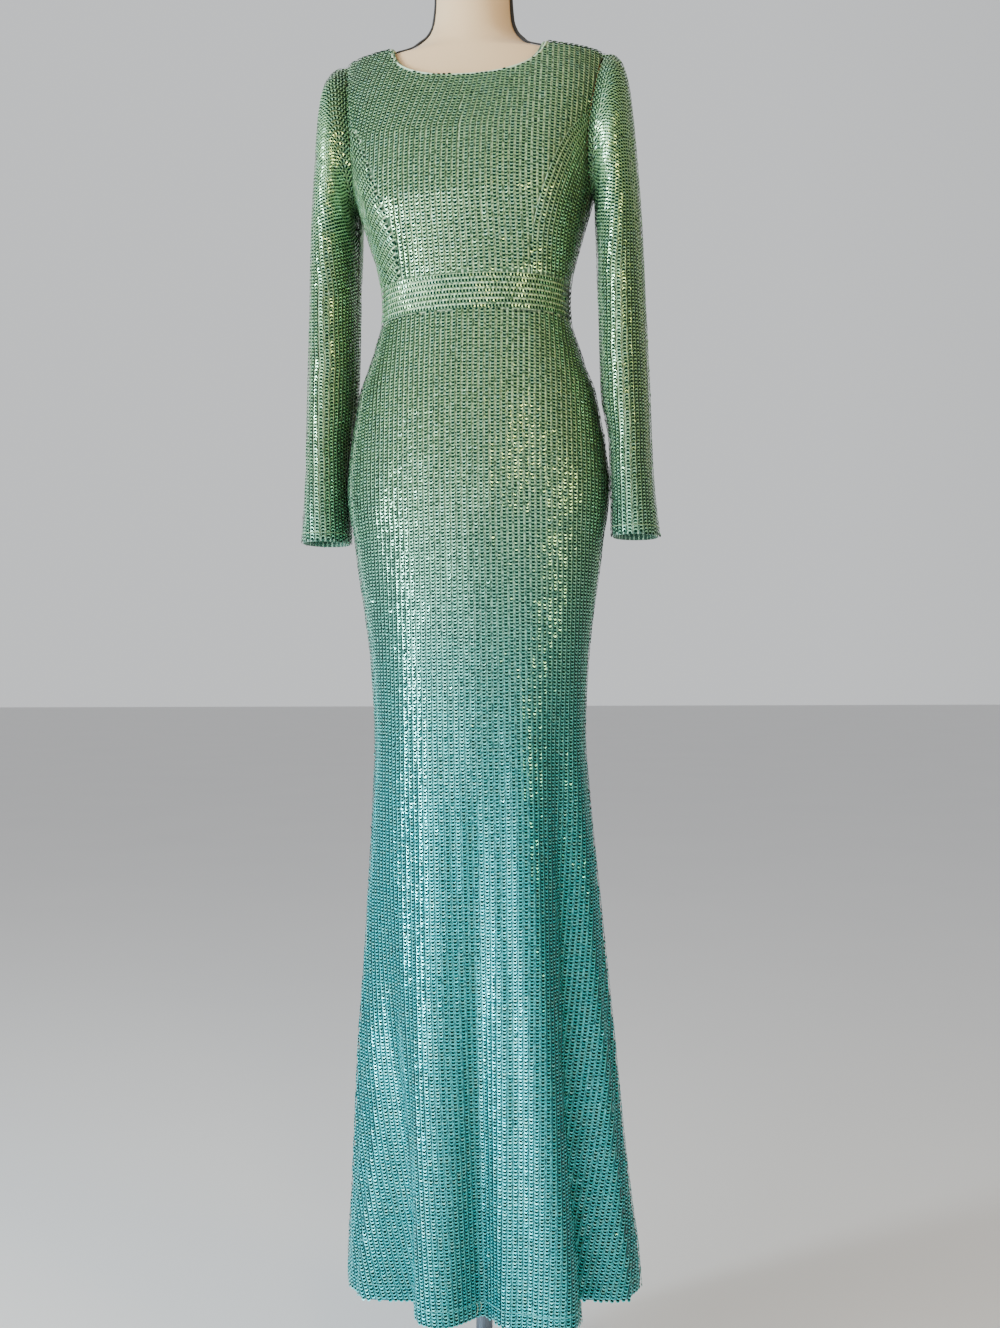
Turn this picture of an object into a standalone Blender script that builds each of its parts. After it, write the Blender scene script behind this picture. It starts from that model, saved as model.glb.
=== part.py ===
"""Evening gown of sequinned net on a limbless dress form.

Metres, +Z up, the gown's front faces -Y and the wearer's left is at +X. The origin is the
centre of the stand's underside. Every cloth piece is a closed wall whose outer face lies on one
surface, gown_point(angle, ring), and whose neighbours share its seams, 0.3 mm apart.
"""

from collections import namedtuple
from math import cos, pi, radians, sin

import bmesh
import bpy
import numpy as np
from mathutils import Matrix, Vector

# ---------------------------------------------------------------- driving sizes
CLOTH = 0.002            # cloth wall
SEAM_GAP = 0.0003        # between neighbouring pieces
SLEEVE_GAP = 0.0007      # the sleeve draws back half of this at the armhole
HEM_Z = 0.160
BAND_BOTTOM_Z = 1.380    # waistband
BAND_TOP_Z = 1.424
UNDERARM_Z = 1.536
SHOULDER_TIP_Z = 1.7145
NECK_HALF_WIDTH = 0.0985  # at the top of the shoulder seam
NECK_SIDE_Z = 1.727
FRONT_NECK_DROP = 0.058
BACK_NECK_DROP = 0.017
FRONT_NECK_SHAPE = 2.35  # superellipse exponents of the neckline
BACK_NECK_SHAPE = 2.2
ARMHOLE_FRONT = 25.0     # how far the armhole reaches round the front and the back, degrees
ARMHOLE_BACK = 24.0
HEM_SHIFT = 0.009        # the hem hangs this far towards the wearer's left
SIDE_LIFT = 0.011        # the hem is this much higher at the sides
SIDE_LIFT_LEFT = 0.004   # more on the wearer's left, less on the right
SHOULDER_LEAN = 0.030    # slope of the shoulders, down towards the wearer's left
LEAN_HEIGHTS = [1.560, 1.690, 1.740, 1.800]   # the slope grows, holds and fades at these heights

FORM_INSET = 0.0062      # form inside the gown's outer face, front and sides
FORM_BACK_INSET = 0.0072
FORM_BOTTOM_Z = 1.035
NECK_TOP_Z = 1.835
CAP_HEIGHT = 0.016
CAP_OVERHANG = 0.0035
CAP_BEVEL = 0.007
PIPING_WIDTH = 0.0075
PIPING_GAP = 0.0011      # piping off the jersey
PIPING_EDGE = 0.45       # share of its height that is left at its long edges

POLE_RADIUS = 0.0105
BASE_RADIUS = 0.200
BASE_HEIGHT = 0.014
BASE_BEVEL = 0.006
SOCKET_RADIUS = 0.034
SOCKET_HEIGHT = 0.050
SOCKET_BEVEL = 0.008
SOCKET_FILLET_HEIGHT = 0.014
FLANGE_RADIUS = 0.052
FLANGE_HEIGHT = 0.008

ZIP_TOP_Z = 1.6990
ZIP_BOTTOM_Z = 1.195
ZIP_ROWS = 19
ZIP_TAPE_WIDTH = 0.022
ZIP_TAPE_THICKNESS = 0.0008
ZIP_TAPE_DEPTH = 0.0016  # behind the cloth
BACK_RADIUS = 0.15       # the tape's bend across the back

# Ring sections of the gown, hem to neck. half_width, front and back are measured from the axis;
# squareness is the superellipse exponent of the ring, 2 for an ellipse.
Section = namedtuple("Section", "z half_width front back squareness")
SECTIONS = [
    Section(0.160, 0.1830, 0.1080, 0.158, 2.0),
    Section(0.209, 0.1810, 0.1075, 0.155, 2.0),
    Section(0.280, 0.1740, 0.1070, 0.150, 2.0),
    Section(0.370, 0.1670, 0.1060, 0.143, 2.0),
    Section(0.477, 0.1605, 0.1040, 0.134, 2.0),
    Section(0.590, 0.1525, 0.1010, 0.125, 2.0),
    Section(0.674, 0.1463, 0.0985, 0.117, 2.0),
    Section(0.739, 0.1410, 0.0965, 0.110, 2.0),
    Section(0.790, 0.1370, 0.0955, 0.106, 2.1),
    Section(0.860, 0.1333, 0.0950, 0.103, 2.1),
    Section(0.950, 0.1375, 0.0960, 0.104, 2.1),
    Section(1.020, 0.1454, 0.0980, 0.108, 2.1),
    Section(1.079, 0.1542, 0.1000, 0.113, 2.1),
    Section(1.110, 0.1578, 0.1015, 0.117, 2.1),
    Section(1.141, 0.1630, 0.1030, 0.120, 2.2),
    Section(1.171, 0.1658, 0.1035, 0.121, 2.2),
    Section(1.218, 0.1618, 0.1025, 0.119, 2.2),
    Section(1.263, 0.1545, 0.1005, 0.114, 2.2),
    Section(1.296, 0.1478, 0.0980, 0.108, 2.2),
    Section(1.324, 0.1375, 0.0950, 0.101, 2.2),
    Section(1.356, 0.1267, 0.0910, 0.092, 2.2),
    Section(1.380, 0.1200, 0.0885, 0.0860, 2.2),
    Section(1.404, 0.1185, 0.0878, 0.0835, 2.2),
    Section(1.424, 0.1196, 0.0885, 0.0840, 2.2),
    Section(1.452, 0.1250, 0.0940, 0.0870, 2.3),
    Section(1.489, 0.1350, 0.1060, 0.0915, 2.4),
    Section(1.522, 0.1450, 0.1140, 0.0960, 2.4),
    Section(1.550, 0.1530, 0.1120, 0.0995, 2.5),
    Section(1.590, 0.1600, 0.1030, 0.1020, 2.6),
    Section(1.635, 0.1655, 0.0880, 0.0990, 2.6),
    Section(1.672, 0.1680, 0.0740, 0.0880, 2.4),
    Section(1.695, 0.1680, 0.0660, 0.0750, 2.0),
    Section(1.708, 0.1665, 0.0620, 0.0660, 1.8),
    Section(1.7145, 0.1640, 0.0605, 0.0630, 1.7),
    Section(1.720, 0.1380, 0.0590, 0.0600, 1.7),
    Section(1.727, 0.0985, 0.0575, 0.0580, 1.7),
    Section(1.735, 0.0780, 0.0565, 0.0570, 1.8),
    Section(1.746, 0.0630, 0.0555, 0.0560, 1.9),
    Section(1.762, 0.0560, 0.0550, 0.0550, 2.0),
    Section(1.795, 0.0535, 0.0545, 0.0545, 2.0),
    Section(1.840, 0.0535, 0.0545, 0.0545, 2.0),
]

# Folds and bumps of the surface. angle and top_angle are degrees from the centre front, towards
# the wearer's left, at the hem and where the fold starts; push is outwards, in metres, at the hem.
Fold = namedtuple("Fold", "angle top_angle half_width push top_z")
FOLDS = [
    Fold(-97, -92, 15, 0.005, 0.80),
    Fold(-40, -50, 18, -0.052, 0.70),
    Fold(-16, -22, 13, 0.010, 0.98),
    Fold(2, 5, 13, -0.036, 0.86),
    Fold(31, 28, 14, 0.026, 1.04),
    Fold(58, 55, 17, -0.058, 0.98),
    Fold(95, 92, 20, 0.006, 0.70),
    Fold(131, 126, 16, -0.034, 0.74),
    Fold(156, 150, 15, 0.020, 0.84),
    Fold(180, 180, 15, -0.028, 0.80),
    Fold(-154, -150, 15, 0.018, 0.88),
    Fold(-127, -124, 16, -0.036, 0.70),
]

# Soft bumps: bust and shoulder blades. push outwards at the middle, both sides alike.
Bump = namedtuple("Bump", "angle z push half_width half_height")
BUMPS = [
    Bump(42, 1.520, 0.007, 26, 0.050),
    Bump(140, 1.600, 0.005, 28, 0.070),
]

# Front seam from waist to armhole: distance from the centre front at each height.
SeamPoint = namedtuple("SeamPoint", "z x")
PRINCESS_SEAM = [
    SeamPoint(1.424, 0.0815),
    SeamPoint(1.466, 0.0835),
    SeamPoint(1.500, 0.0900),
    SeamPoint(1.546, 0.1050),
    SeamPoint(1.590, 0.1240),
    SeamPoint(1.630, 0.1480),
]

# Piping of the form, from under the gown's shoulder up to the neck's top: degrees from the front,
# and how far it stands proud.
PipingStation = namedtuple("PipingStation", "z degrees height")
PIPING = [
    PipingStation(1.7215, 50, 0.0012),
    PipingStation(1.7270, 53, 0.0018),
    PipingStation(1.7350, 62, 0.0026),
    PipingStation(1.7460, 75, 0.0030),
    PipingStation(1.7620, 83, 0.0028),
    PipingStation(1.7950, 87, 0.0024),
    PipingStation(1.8350, 88, 0.0022),
]

# Sleeve rings from the armhole to the cuff, wearer's left. Each ring spans from its inner point,
# at the underarm side, to its outer one, and half_depth to the front and the back.
SleeveRing = namedtuple("SleeveRing", "outer_x outer_z inner_x inner_z half_depth")
SLEEVE_RINGS = [
    SleeveRing(0.1640, 1.7145, 0.1493, 1.5360, 0.050),
    SleeveRing(0.1745, 1.7130, 0.1515, 1.5300, 0.057),
    SleeveRing(0.1865, 1.7020, 0.1526, 1.5240, 0.062),
    SleeveRing(0.1945, 1.6750, 0.1531, 1.5170, 0.065),
    SleeveRing(0.1990, 1.6370, 0.1534, 1.5080, 0.0665),
    SleeveRing(0.2040, 1.5750, 0.1537, 1.4900, 0.0665),
    SleeveRing(0.2088, 1.5000, 0.1548, 1.4550, 0.065),
    SleeveRing(0.2137, 1.3800, 0.1566, 1.3710, 0.060),
    SleeveRing(0.2175, 1.2860, 0.1590, 1.2850, 0.058),
    SleeveRing(0.2192, 1.2250, 0.1680, 1.2250, 0.056),
    SleeveRing(0.2225, 1.1650, 0.1692, 1.1650, 0.053),
    SleeveRing(0.2285, 1.1080, 0.1694, 1.1080, 0.048),
]

# Grid steps of the pieces
SKIRT_FRONT_COLUMNS = 30
SKIRT_BACK_COLUMNS = 14
SKIRT_ROWS = 17
SKIRT_UPPER_SHARE = 0.55   # share of the rows above the knee's narrowest ring
KNEE_Z = 0.860
NECKLINE_COLUMNS = 12
BACK_NECK_COLUMNS = 5
SHOULDER_COLUMNS = 3
SIDE_SEAM_ROWS = 8
ARMHOLE_STEPS = 11         # from underarm to shoulder tip, front or back
ARMHOLE_LOWER_STEPS = 5    # of those, below the princess seam
ARMHOLE_BIAS = 0.50        # steps closer together at the tip
MITRE_LEAST = 0.55         # limits how far a sharp seam's inner edge reaches
TOP_PULL = 2.2             # above 1, a panel's top edge shapes only the rows near it
CAP_RINGS = 4              # the sleeve eases from the armhole to its own rings over these
BAND_ROWS = 2
BAND_COLUMNS = 10          # round a quarter
FORM_COLUMNS = 36
FORM_LOWER_ROWS = 13
FORM_UPPER_ROWS = 17
FINE_STEPS = 400           # samples of a curve before it is divided evenly
NECK_CENTRE = 1e-9         # keeps the side of a neckline that ends on the centre line

COLOURS = {
    "sequin_net": (0.30, 0.62, 0.50, 1.0),
    "zip": (0.28, 0.52, 0.43, 1.0),
    "zip_metal": (0.55, 0.62, 0.58, 1.0),
    "form_jersey": (0.72, 0.60, 0.44, 1.0),
    "piping": (0.02, 0.02, 0.02, 1.0),
    "steel": (0.33, 0.40, 0.45, 1.0),
}
METALLIC = {"zip_metal": 0.8, "steel": 0.9}
ROUGHNESS = {"sequin_net": 0.35, "zip_metal": 0.35, "steel": 0.35}


# ---------------------------------------------------------------- the gown's surface
def smooth_tangents(x, y):
    """Tangents of a monotone cubic through the points (x, y)."""
    steps = np.diff(x)
    slopes = np.diff(y) / steps
    tangents = np.empty_like(y)
    tangents[0], tangents[-1] = slopes[0], slopes[-1]
    before, after = slopes[:-1], slopes[1:]
    weight_before = 2 * steps[1:] + steps[:-1]
    weight_after = steps[1:] + 2 * steps[:-1]
    same_sign = before * after > 0
    safe_before = np.where(same_sign, before, 1.0)
    safe_after = np.where(same_sign, after, 1.0)
    mean = (weight_before + weight_after) / (weight_before / safe_before + weight_after / safe_after)
    tangents[1:-1] = np.where(same_sign, mean, 0.0)
    return tangents


def smooth_curve(x, y, at):
    """Monotone cubic interpolation of y over x."""
    x, y = np.asarray(x, float), np.asarray(y, float)
    tangents = smooth_tangents(x, y)
    at = np.clip(at, x[0], x[-1])
    i = np.clip(np.searchsorted(x, at) - 1, 0, len(x) - 2)
    step = x[i + 1] - x[i]
    t = (at - x[i]) / step
    rise = t * t * (3 - 2 * t)
    leave = t * (1 - t) ** 2
    arrive = t * t * (t - 1)
    return y[i] + (y[i + 1] - y[i]) * rise + step * (leave * tangents[i] + arrive * tangents[i + 1])


SECTION_COLUMNS = {name: np.array([getattr(s, name) for s in SECTIONS]) for name in Section._fields}
# A ring's place s is its distance along the side outline, so that shoulders get even steps.
SECTION_S = np.concatenate(
    [[0.0], np.cumsum(np.hypot(np.diff(SECTION_COLUMNS["half_width"]), np.diff(SECTION_COLUMNS["z"])))]
)


def section_value(name, s):
    return smooth_curve(SECTION_S, SECTION_COLUMNS[name], s)


def s_at_z(z):
    """The ring at a height: the side outline never turns back down, so the height gives the ring."""
    fine = np.linspace(0, SECTION_S[-1], 4001)
    return np.interp(z, section_value("z", fine), fine)


def signed_power(value, power):
    return np.sign(value) * np.abs(value) ** power


def around(angle, middle, half_width):
    """1 at the middle angle, falling smoothly to 0 at half_width to either side, round the ring."""
    away = np.abs((angle - middle + 180) % 360 - 180) / half_width
    return np.where(away < 1, 0.5 + 0.5 * np.cos(pi * np.clip(away, 0, 1)), 0.0)


def fold_push(degrees, z):
    """Outward push of the skirt's folds and the bust's bumps."""
    push = np.zeros(np.broadcast(degrees, z).shape)
    for fold in FOLDS:
        down = np.clip((fold.top_z - z) / (fold.top_z - HEM_Z), 0, 1)
        middle = fold.top_angle + (fold.angle - fold.top_angle) * down
        push = push + fold.push * down ** 1.3 * around(degrees, middle, fold.half_width)
    for bump in BUMPS:
        height = np.exp(-(((z - bump.z) / bump.half_height) ** 2))
        for side in (-1, 1):
            push = push + bump.push * height * around(degrees, side * bump.angle, bump.half_width)
    return push


def leaned(points):
    """The points with the shoulders' slope put in."""
    drop = SHOULDER_LEAN * points[..., 0] * smooth_curve(LEAN_HEIGHTS, [0, 1, 1, 0], points[..., 2])
    return points - drop[..., None] * np.array([0.0, 0.0, 1.0])


def level_point(angle, s):
    """The gown's outer face before the shoulders' slope: both sides of the bodice alike."""
    angle, s = np.broadcast_arrays(np.asarray(angle, float), np.asarray(s, float))
    z = section_value("z", s)
    width = section_value("half_width", s)
    depth = np.where(np.cos(angle) < 0, section_value("back", s), section_value("front", s))
    power = 2 / section_value("squareness", s)
    x = width * signed_power(np.sin(angle), power)
    y = -depth * signed_power(np.cos(angle), power)
    push = fold_push(np.degrees(angle), z) / np.maximum(np.hypot(x, y), 1e-6)
    low = np.clip((KNEE_Z - z) / (KNEE_Z - HEM_Z), 0, 1)
    lift = (SIDE_LIFT + SIDE_LIFT_LEFT * np.sin(angle)) * np.sin(angle) ** 2 * low**2
    return np.stack([x * (1 + push) + HEM_SHIFT * low, y * (1 + push), z + lift], axis=-1)


def gown_point(angle, s):
    """The gown's outer face at an angle (radians from the front) on ring s."""
    return leaned(level_point(angle, s))


def gown_normal(angle, s):
    """Outward unit normal of the gown's outer face, from central differences."""
    turn, rise = 2e-3, 1e-3
    across = gown_point(angle + turn, s) - gown_point(angle - turn, s)
    up = gown_point(angle, s + rise) - gown_point(angle, s - rise)
    return unit(np.cross(across, up))


def unit(vectors):
    return vectors / np.maximum(np.linalg.norm(vectors, axis=-1, keepdims=True), 1e-12)


def angle_at_x(x, s):
    """The front angle at which ring s is x from the centre."""
    ratio = np.clip(np.abs(x) / section_value("half_width", s), 0, 1)
    return np.sign(x) * np.arcsin(ratio ** (section_value("squareness", s) / 2))


# ---------------------------------------------------------------- seams, as (angle, s) pairs
def pairs(angle, s):
    return np.stack(np.broadcast_arrays(np.asarray(angle, float), np.asarray(s, float)), axis=-1)


S_UNDERARM, S_TIP, S_NECK_SIDE = s_at_z(UNDERARM_Z), s_at_z(SHOULDER_TIP_Z), s_at_z(NECK_SIDE_Z)


def evenly(curve, steps, bias=0.0):
    """The same curve, fine pairs in, at even distances along the cloth, closer at its end by bias."""
    points = level_point(curve[:, 0], curve[:, 1])
    run = np.concatenate([[0.0], np.cumsum(np.linalg.norm(np.diff(points, axis=0), axis=1))])
    share = np.linspace(0, 1, steps + 1)
    stops = run[-1] * (share + bias * share * (1 - share))
    return np.stack([np.interp(stops, run, curve[:, k]) for k in (0, 1)], axis=-1)


def armhole(side, front):
    """Half of the armhole, underarm to shoulder tip: half an ellipse over (angle, s)."""
    turn = np.linspace(0, pi, FINE_STEPS)
    reach = radians(ARMHOLE_FRONT if front else -ARMHOLE_BACK)
    s = (S_UNDERARM + S_TIP) / 2 - (S_TIP - S_UNDERARM) / 2 * np.cos(turn)
    return evenly(pairs(side * (pi / 2 - reach * np.sin(turn)), s), ARMHOLE_STEPS, ARMHOLE_BIAS)


def princess_seam(side):
    """Front seam from the waistband up to the armhole, SIDE_SEAM_ROWS steps."""
    top = armhole(side, True)[ARMHOLE_LOWER_STEPS]
    share = np.linspace(0, 1, SIDE_SEAM_ROWS + 1)
    s = s_at_z(BAND_TOP_Z) + (top[1] - s_at_z(BAND_TOP_Z)) * share
    z = section_value("z", s)
    x = side * smooth_curve([p.z for p in PRINCESS_SEAM], [p.x for p in PRINCESS_SEAM], z)
    seam = pairs(angle_at_x(x, s), s)
    ease = share**4
    seam[:, 0] += (top[0] - seam[-1, 0]) * ease
    return seam


def side_seam(side):
    s = np.linspace(s_at_z(BAND_TOP_Z), S_UNDERARM, SIDE_SEAM_ROWS + 1)
    return pairs(side * pi / 2, s)


def shoulder_seam(side):
    """Shoulder tip to the side of the neck."""
    return evenly(pairs(side * pi / 2, np.linspace(S_TIP, S_NECK_SIDE, FINE_STEPS)), SHOULDER_COLUMNS)


def neckline(front, start, end, steps):
    """A superellipse in front view, from start to end (0 the centre, +-1 the shoulder seams)."""
    t = np.linspace(start, end, FINE_STEPS) * pi / 2
    drop, shape = (
        (FRONT_NECK_DROP, FRONT_NECK_SHAPE) if front else (BACK_NECK_DROP, BACK_NECK_SHAPE)
    )
    x = NECK_HALF_WIDTH * signed_power(np.sin(t), 2 / shape)
    s = s_at_z(NECK_SIDE_Z - drop * np.abs(np.cos(t)) ** (2 / shape))
    angle = angle_at_x(x, s)
    return evenly(pairs(angle if front else np.sign(end + start) * pi - angle, s), steps)


def joined(*curves):
    """Curves end to end, their shared points once."""
    return np.concatenate([curves[0]] + [curve[1:] for curve in curves[1:]])


def patch(bottom, top, left, right):
    """Coons patch over (angle, s): rows run up from bottom to top, columns from left to right."""
    u = np.linspace(0, 1, len(bottom))[None, :, None]
    v = np.linspace(0, 1, len(left))[:, None, None] ** TOP_PULL
    ruled_up = bottom[None] * (1 - v) + top[None] * v
    ruled_across = left[:, None] * (1 - u) + right[:, None] * u
    corners = (
        bottom[0] * (1 - u) * (1 - v) + bottom[-1] * u * (1 - v) + top[0] * (1 - u) * v + top[-1] * u * v
    )
    return ruled_up + ruled_across - corners


# ---------------------------------------------------------------- walls
def edge_step(outer, normals, edge, next_in):
    """Unit steps square to an edge and along the cloth, into the piece."""
    along = np.gradient(outer[edge], axis=0)
    across = unit(np.cross(along, normals[edge]))
    towards = np.sign(np.sum((outer[next_in] - outer[edge]) * across))
    return across * towards


def rim_faces(mesh, first, second, first_back, second_back):
    """Two triangles across a wall's edge, split the same way by the pieces on both sides of a seam."""
    if first.co.z > second.co.z:
        first, second, first_back, second_back = second, first, second_back, first_back
    mesh.faces.new([first, second, second_back])
    mesh.faces.new([first, second_back, first_back])


def wall_mesh(name, outer, normals, thickness=CLOTH, closed=False, inner=None, gap=SEAM_GAP):
    """A closed wall from a grid of outer points, rows by columns, with its inner face behind it."""
    if inner is None:
        inner = outer - thickness * normals
    edges = [(np.s_[0, :], np.s_[1, :]), (np.s_[-1, :], np.s_[-2, :])]
    if not closed:
        edges += [(np.s_[:, 0], np.s_[:, 1]), (np.s_[:, -1], np.s_[:, -2])]
    moves = np.zeros_like(outer)
    for edge, next_in in edges if gap else []:
        moves[edge] += gap / 2 * edge_step(outer, normals, edge, next_in)
    rows, columns = outer.shape[:2]
    last = columns if closed else columns - 1
    mesh = bmesh.new()
    face, back = (
        [[mesh.verts.new(point) for point in row] for row in grid] for grid in (outer + moves, inner + moves)
    )
    for j in range(last):
        k = (j + 1) % columns
        for i in range(rows - 1):
            mesh.faces.new([face[i][j], face[i][k], face[i + 1][k], face[i + 1][j]])
            mesh.faces.new([back[i + 1][j], back[i + 1][k], back[i][k], back[i][j]])
        for i in (0, -1):
            rim_faces(mesh, face[i][j], face[i][k], back[i][j], back[i][k])
    if not closed:
        for i in range(rows - 1):
            for j in (0, -1):
                rim_faces(mesh, face[i][j], face[i + 1][j], back[i][j], back[i + 1][j])
    return finished(name, mesh)


def finished(name, mesh):
    """Makes the object of a bmesh, with its faces in triangles and pointing outwards."""
    bmesh.ops.triangulate(mesh, faces=mesh.faces[:], quad_method="SHORT_EDGE")
    bmesh.ops.recalc_face_normals(mesh, faces=mesh.faces[:])
    if mesh.calc_volume(signed=True) < 0:
        bmesh.ops.reverse_faces(mesh, faces=mesh.faces[:])
    data = bpy.data.meshes.new(name)
    mesh.to_mesh(data)
    mesh.free()
    data.shade_smooth()
    data.set_sharp_from_angle(angle=radians(40))
    thing = bpy.data.objects.new(name, data)
    bpy.context.scene.collection.objects.link(thing)
    return thing


def painted(thing, finish):
    """Gives an object its own material of one of the part's finishes."""
    material = bpy.data.materials.new(thing.name)
    material.use_nodes = True
    shader = material.node_tree.nodes["Principled BSDF"]
    shader.inputs["Base Color"].default_value = COLOURS[finish]
    shader.inputs["Roughness"].default_value = ROUGHNESS.get(finish, 0.8)
    shader.inputs["Metallic"].default_value = METALLIC.get(finish, 0.0)
    thing.data.materials.clear()
    thing.data.materials.append(material)
    return thing


def cloth_panel(name, grid, edge_normals=None):
    """A gown panel over a grid of (angle, s). edge_normals replaces the seam normals on a mask."""
    angle, s = grid[..., 0], grid[..., 1]
    outer, normals = gown_point(angle, s), gown_normal(angle, s)
    inner = outer - CLOTH * normals
    if edge_normals is not None:
        mask, mitred, reach = edge_normals
        normals = np.where(mask[..., None], mitred, normals)
        inner = np.where(mask[..., None], outer - CLOTH * reach[..., None] * mitred, inner)
    return painted(wall_mesh(name, outer, normals, inner=inner), "sequin_net")


# ---------------------------------------------------------------- bodice
def mirrored_side(curve):
    """The same seam on the wearer's right."""
    return curve * np.array([-1.0, 1.0])


def sleeve_ring_angles():
    """Round a sleeve ring, spaced as the armhole is: 0 at the inner side, a half turn at the outer."""
    share = np.linspace(0, 1, ARMHOLE_STEPS + 1)
    front = pi * (share + ARMHOLE_BIAS * share * (1 - share))
    return np.concatenate([front, 2 * pi - front[-2:0:-1]])


def armhole_ring():
    """The whole armhole of the wearer's left, in the order of the sleeve's rings."""
    front, back = armhole(1, True), armhole(1, False)
    return np.concatenate([front, back[-2:0:-1]])


def sleeve_outer():
    """Grid of the left sleeve's outer points: elliptical rings that ease into the armhole."""
    ring = sleeve_ring_angles()
    columns = {name: np.array([getattr(r, name) for r in SLEEVE_RINGS]) for name in SleeveRing._fields}

    def ellipse(k):
        outer = np.array([columns["outer_x"][k], 0.0, columns["outer_z"][k]])
        inner = np.array([columns["inner_x"][k], 0.0, columns["inner_z"][k]])
        middle, half = (outer + inner) / 2, (outer - inner) / 2
        depth = np.array([0.0, columns["half_depth"][k], 0.0])
        return middle - np.cos(ring)[:, None] * half - np.sin(ring)[:, None] * depth

    seam = level_point(armhole_ring()[:, 0], armhole_ring()[:, 1])
    rows = []
    for k in range(len(SLEEVE_RINGS)):
        keep = max(0.0, 1 - k / CAP_RINGS) ** 2
        rows.append(ellipse(k) + keep * (seam - ellipse(0)))
    return np.array(rows)


def grid_normals(outer, closed):
    """Outward normals of a grid whose rows run away from the viewer's up, by differences."""
    if closed:
        across = np.roll(outer, -1, axis=1) - np.roll(outer, 1, axis=1)
    else:
        across = np.gradient(outer, axis=1)
    along = np.gradient(outer, axis=0)
    return unit(np.cross(across, along))


def sleeve_surface():
    """The left sleeve's outer points and outward normals."""
    outer = sleeve_outer()
    normals = grid_normals(outer, closed=True)
    middle = outer.mean(axis=1, keepdims=True)
    inwards = np.sum(normals * (outer - middle), axis=-1).mean() < 0
    return outer, -normals if inwards else normals


def armhole_mitre():
    """At each armhole point, the shared inner direction of bodice and sleeve, and its reach."""
    ring = armhole_ring()
    seam = level_point(ring[:, 0], ring[:, 1])
    along = unit(np.roll(seam, -1, axis=0) - np.roll(seam, 1, axis=0))
    body = gown_normal(ring[:, 0], ring[:, 1])
    sleeve = sleeve_surface()[1][0]
    shared = unit(np.cross(along, unit(body - sleeve)))
    shared = shared * np.sign(np.sum(shared * (body + sleeve)))
    reach = 1 / np.clip(np.sum(shared * body, axis=-1), MITRE_LEAST, 1)
    return shared, reach


def armhole_edge(shape, places, side):
    """Mask, directions and reach for the panel vertices that lie on the armhole.

    places maps armhole steps (0 at the underarm, negative round the back) to grid (row, column).
    """
    shared, reach = armhole_mitre()
    mask = np.zeros(shape, bool)
    directions = np.zeros(shape + (3,))
    lengths = np.ones(shape)
    flip = np.array([side, 1.0, 1.0])
    for step, (row, column) in places.items():
        mask[row, column] = True
        directions[row, column] = shared[step] * flip
        lengths[row, column] = reach[step]
    return mask, directions, lengths


def bodice_front_centre():
    left = joined(princess_seam(-1), armhole(-1, True)[ARMHOLE_LOWER_STEPS:])
    right = mirrored_side(left)
    top = joined(
        mirrored_side(shoulder_seam(1)),
        neckline(True, -1, 1, NECKLINE_COLUMNS),
        shoulder_seam(1)[::-1],
    )
    bottom = pairs(np.linspace(left[0, 0], right[0, 0], len(top)), left[0, 1])
    grid = patch(bottom, top, left, right)
    rows_above = SIDE_SEAM_ROWS - ARMHOLE_LOWER_STEPS
    masks = [
        armhole_edge(
            grid.shape[:2],
            {k: (k + rows_above, column) for k in range(ARMHOLE_LOWER_STEPS, ARMHOLE_STEPS + 1)},
            side,
        )
        for side, column in ((-1, 0), (1, grid.shape[1] - 1))
    ]
    mask = masks[0][0] | masks[1][0]
    directions = np.where(masks[0][0][..., None], masks[0][1], masks[1][1])
    reach = np.where(masks[0][0], masks[0][2], masks[1][2])
    return cloth_panel("bodice_front_centre", grid, (mask, directions, reach))


def bodice_front_side(side, name):
    """Side front: princess seam, armhole below it, side seam and waist."""
    inner_seam, outer_seam = princess_seam(side), side_seam(side)
    top = armhole(side, True)[: ARMHOLE_LOWER_STEPS + 1]
    steps = list(range(ARMHOLE_LOWER_STEPS + 1))
    if side > 0:
        left, right = inner_seam, outer_seam
        top, steps = top[::-1], steps[::-1]
    else:
        left, right = outer_seam, inner_seam
    bottom = pairs(np.linspace(left[0, 0], right[0, 0], len(top)), left[0, 1])
    grid = patch(bottom, top, left, right)
    last_row = grid.shape[0] - 1
    places = {step: (last_row, column) for column, step in enumerate(steps)}
    return cloth_panel(name, grid, armhole_edge(grid.shape[:2], places, side))


def bodice_back(side, name):
    """Back: side seam and armhole on one side, the zip on the other."""
    outer = joined(side_seam(side), armhole(side, False))
    centre_s = np.linspace(s_at_z(BAND_TOP_Z), s_at_z(NECK_SIDE_Z - BACK_NECK_DROP), len(outer))
    centre = pairs(side * pi, centre_s)
    top = joined(shoulder_seam(side), neckline(False, side, side * NECK_CENTRE, BACK_NECK_COLUMNS))
    left, right = outer, centre
    steps = {-k: SIDE_SEAM_ROWS + k for k in range(ARMHOLE_STEPS)}
    steps[ARMHOLE_STEPS] = SIDE_SEAM_ROWS + ARMHOLE_STEPS
    column = 0
    if side < 0:
        left, right, top = centre, outer, top[::-1]
        column = len(top) - 1
    bottom = pairs(np.linspace(left[0, 0], right[0, 0], len(top)), left[0, 1])
    grid = patch(bottom, top, left, right)
    places = {step: (row, column) for step, row in steps.items()}
    return cloth_panel(name, grid, armhole_edge(grid.shape[:2], places, side))


# ---------------------------------------------------------------- band, skirt, sleeves
def ring_panel(name, start, end, columns, heights):
    """A panel between two angles over level rows."""
    angle = np.linspace(start, end, columns + 1)
    s = s_at_z(np.asarray(heights))
    return cloth_panel(name, pairs(angle[None, :], s[:, None]))


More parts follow.
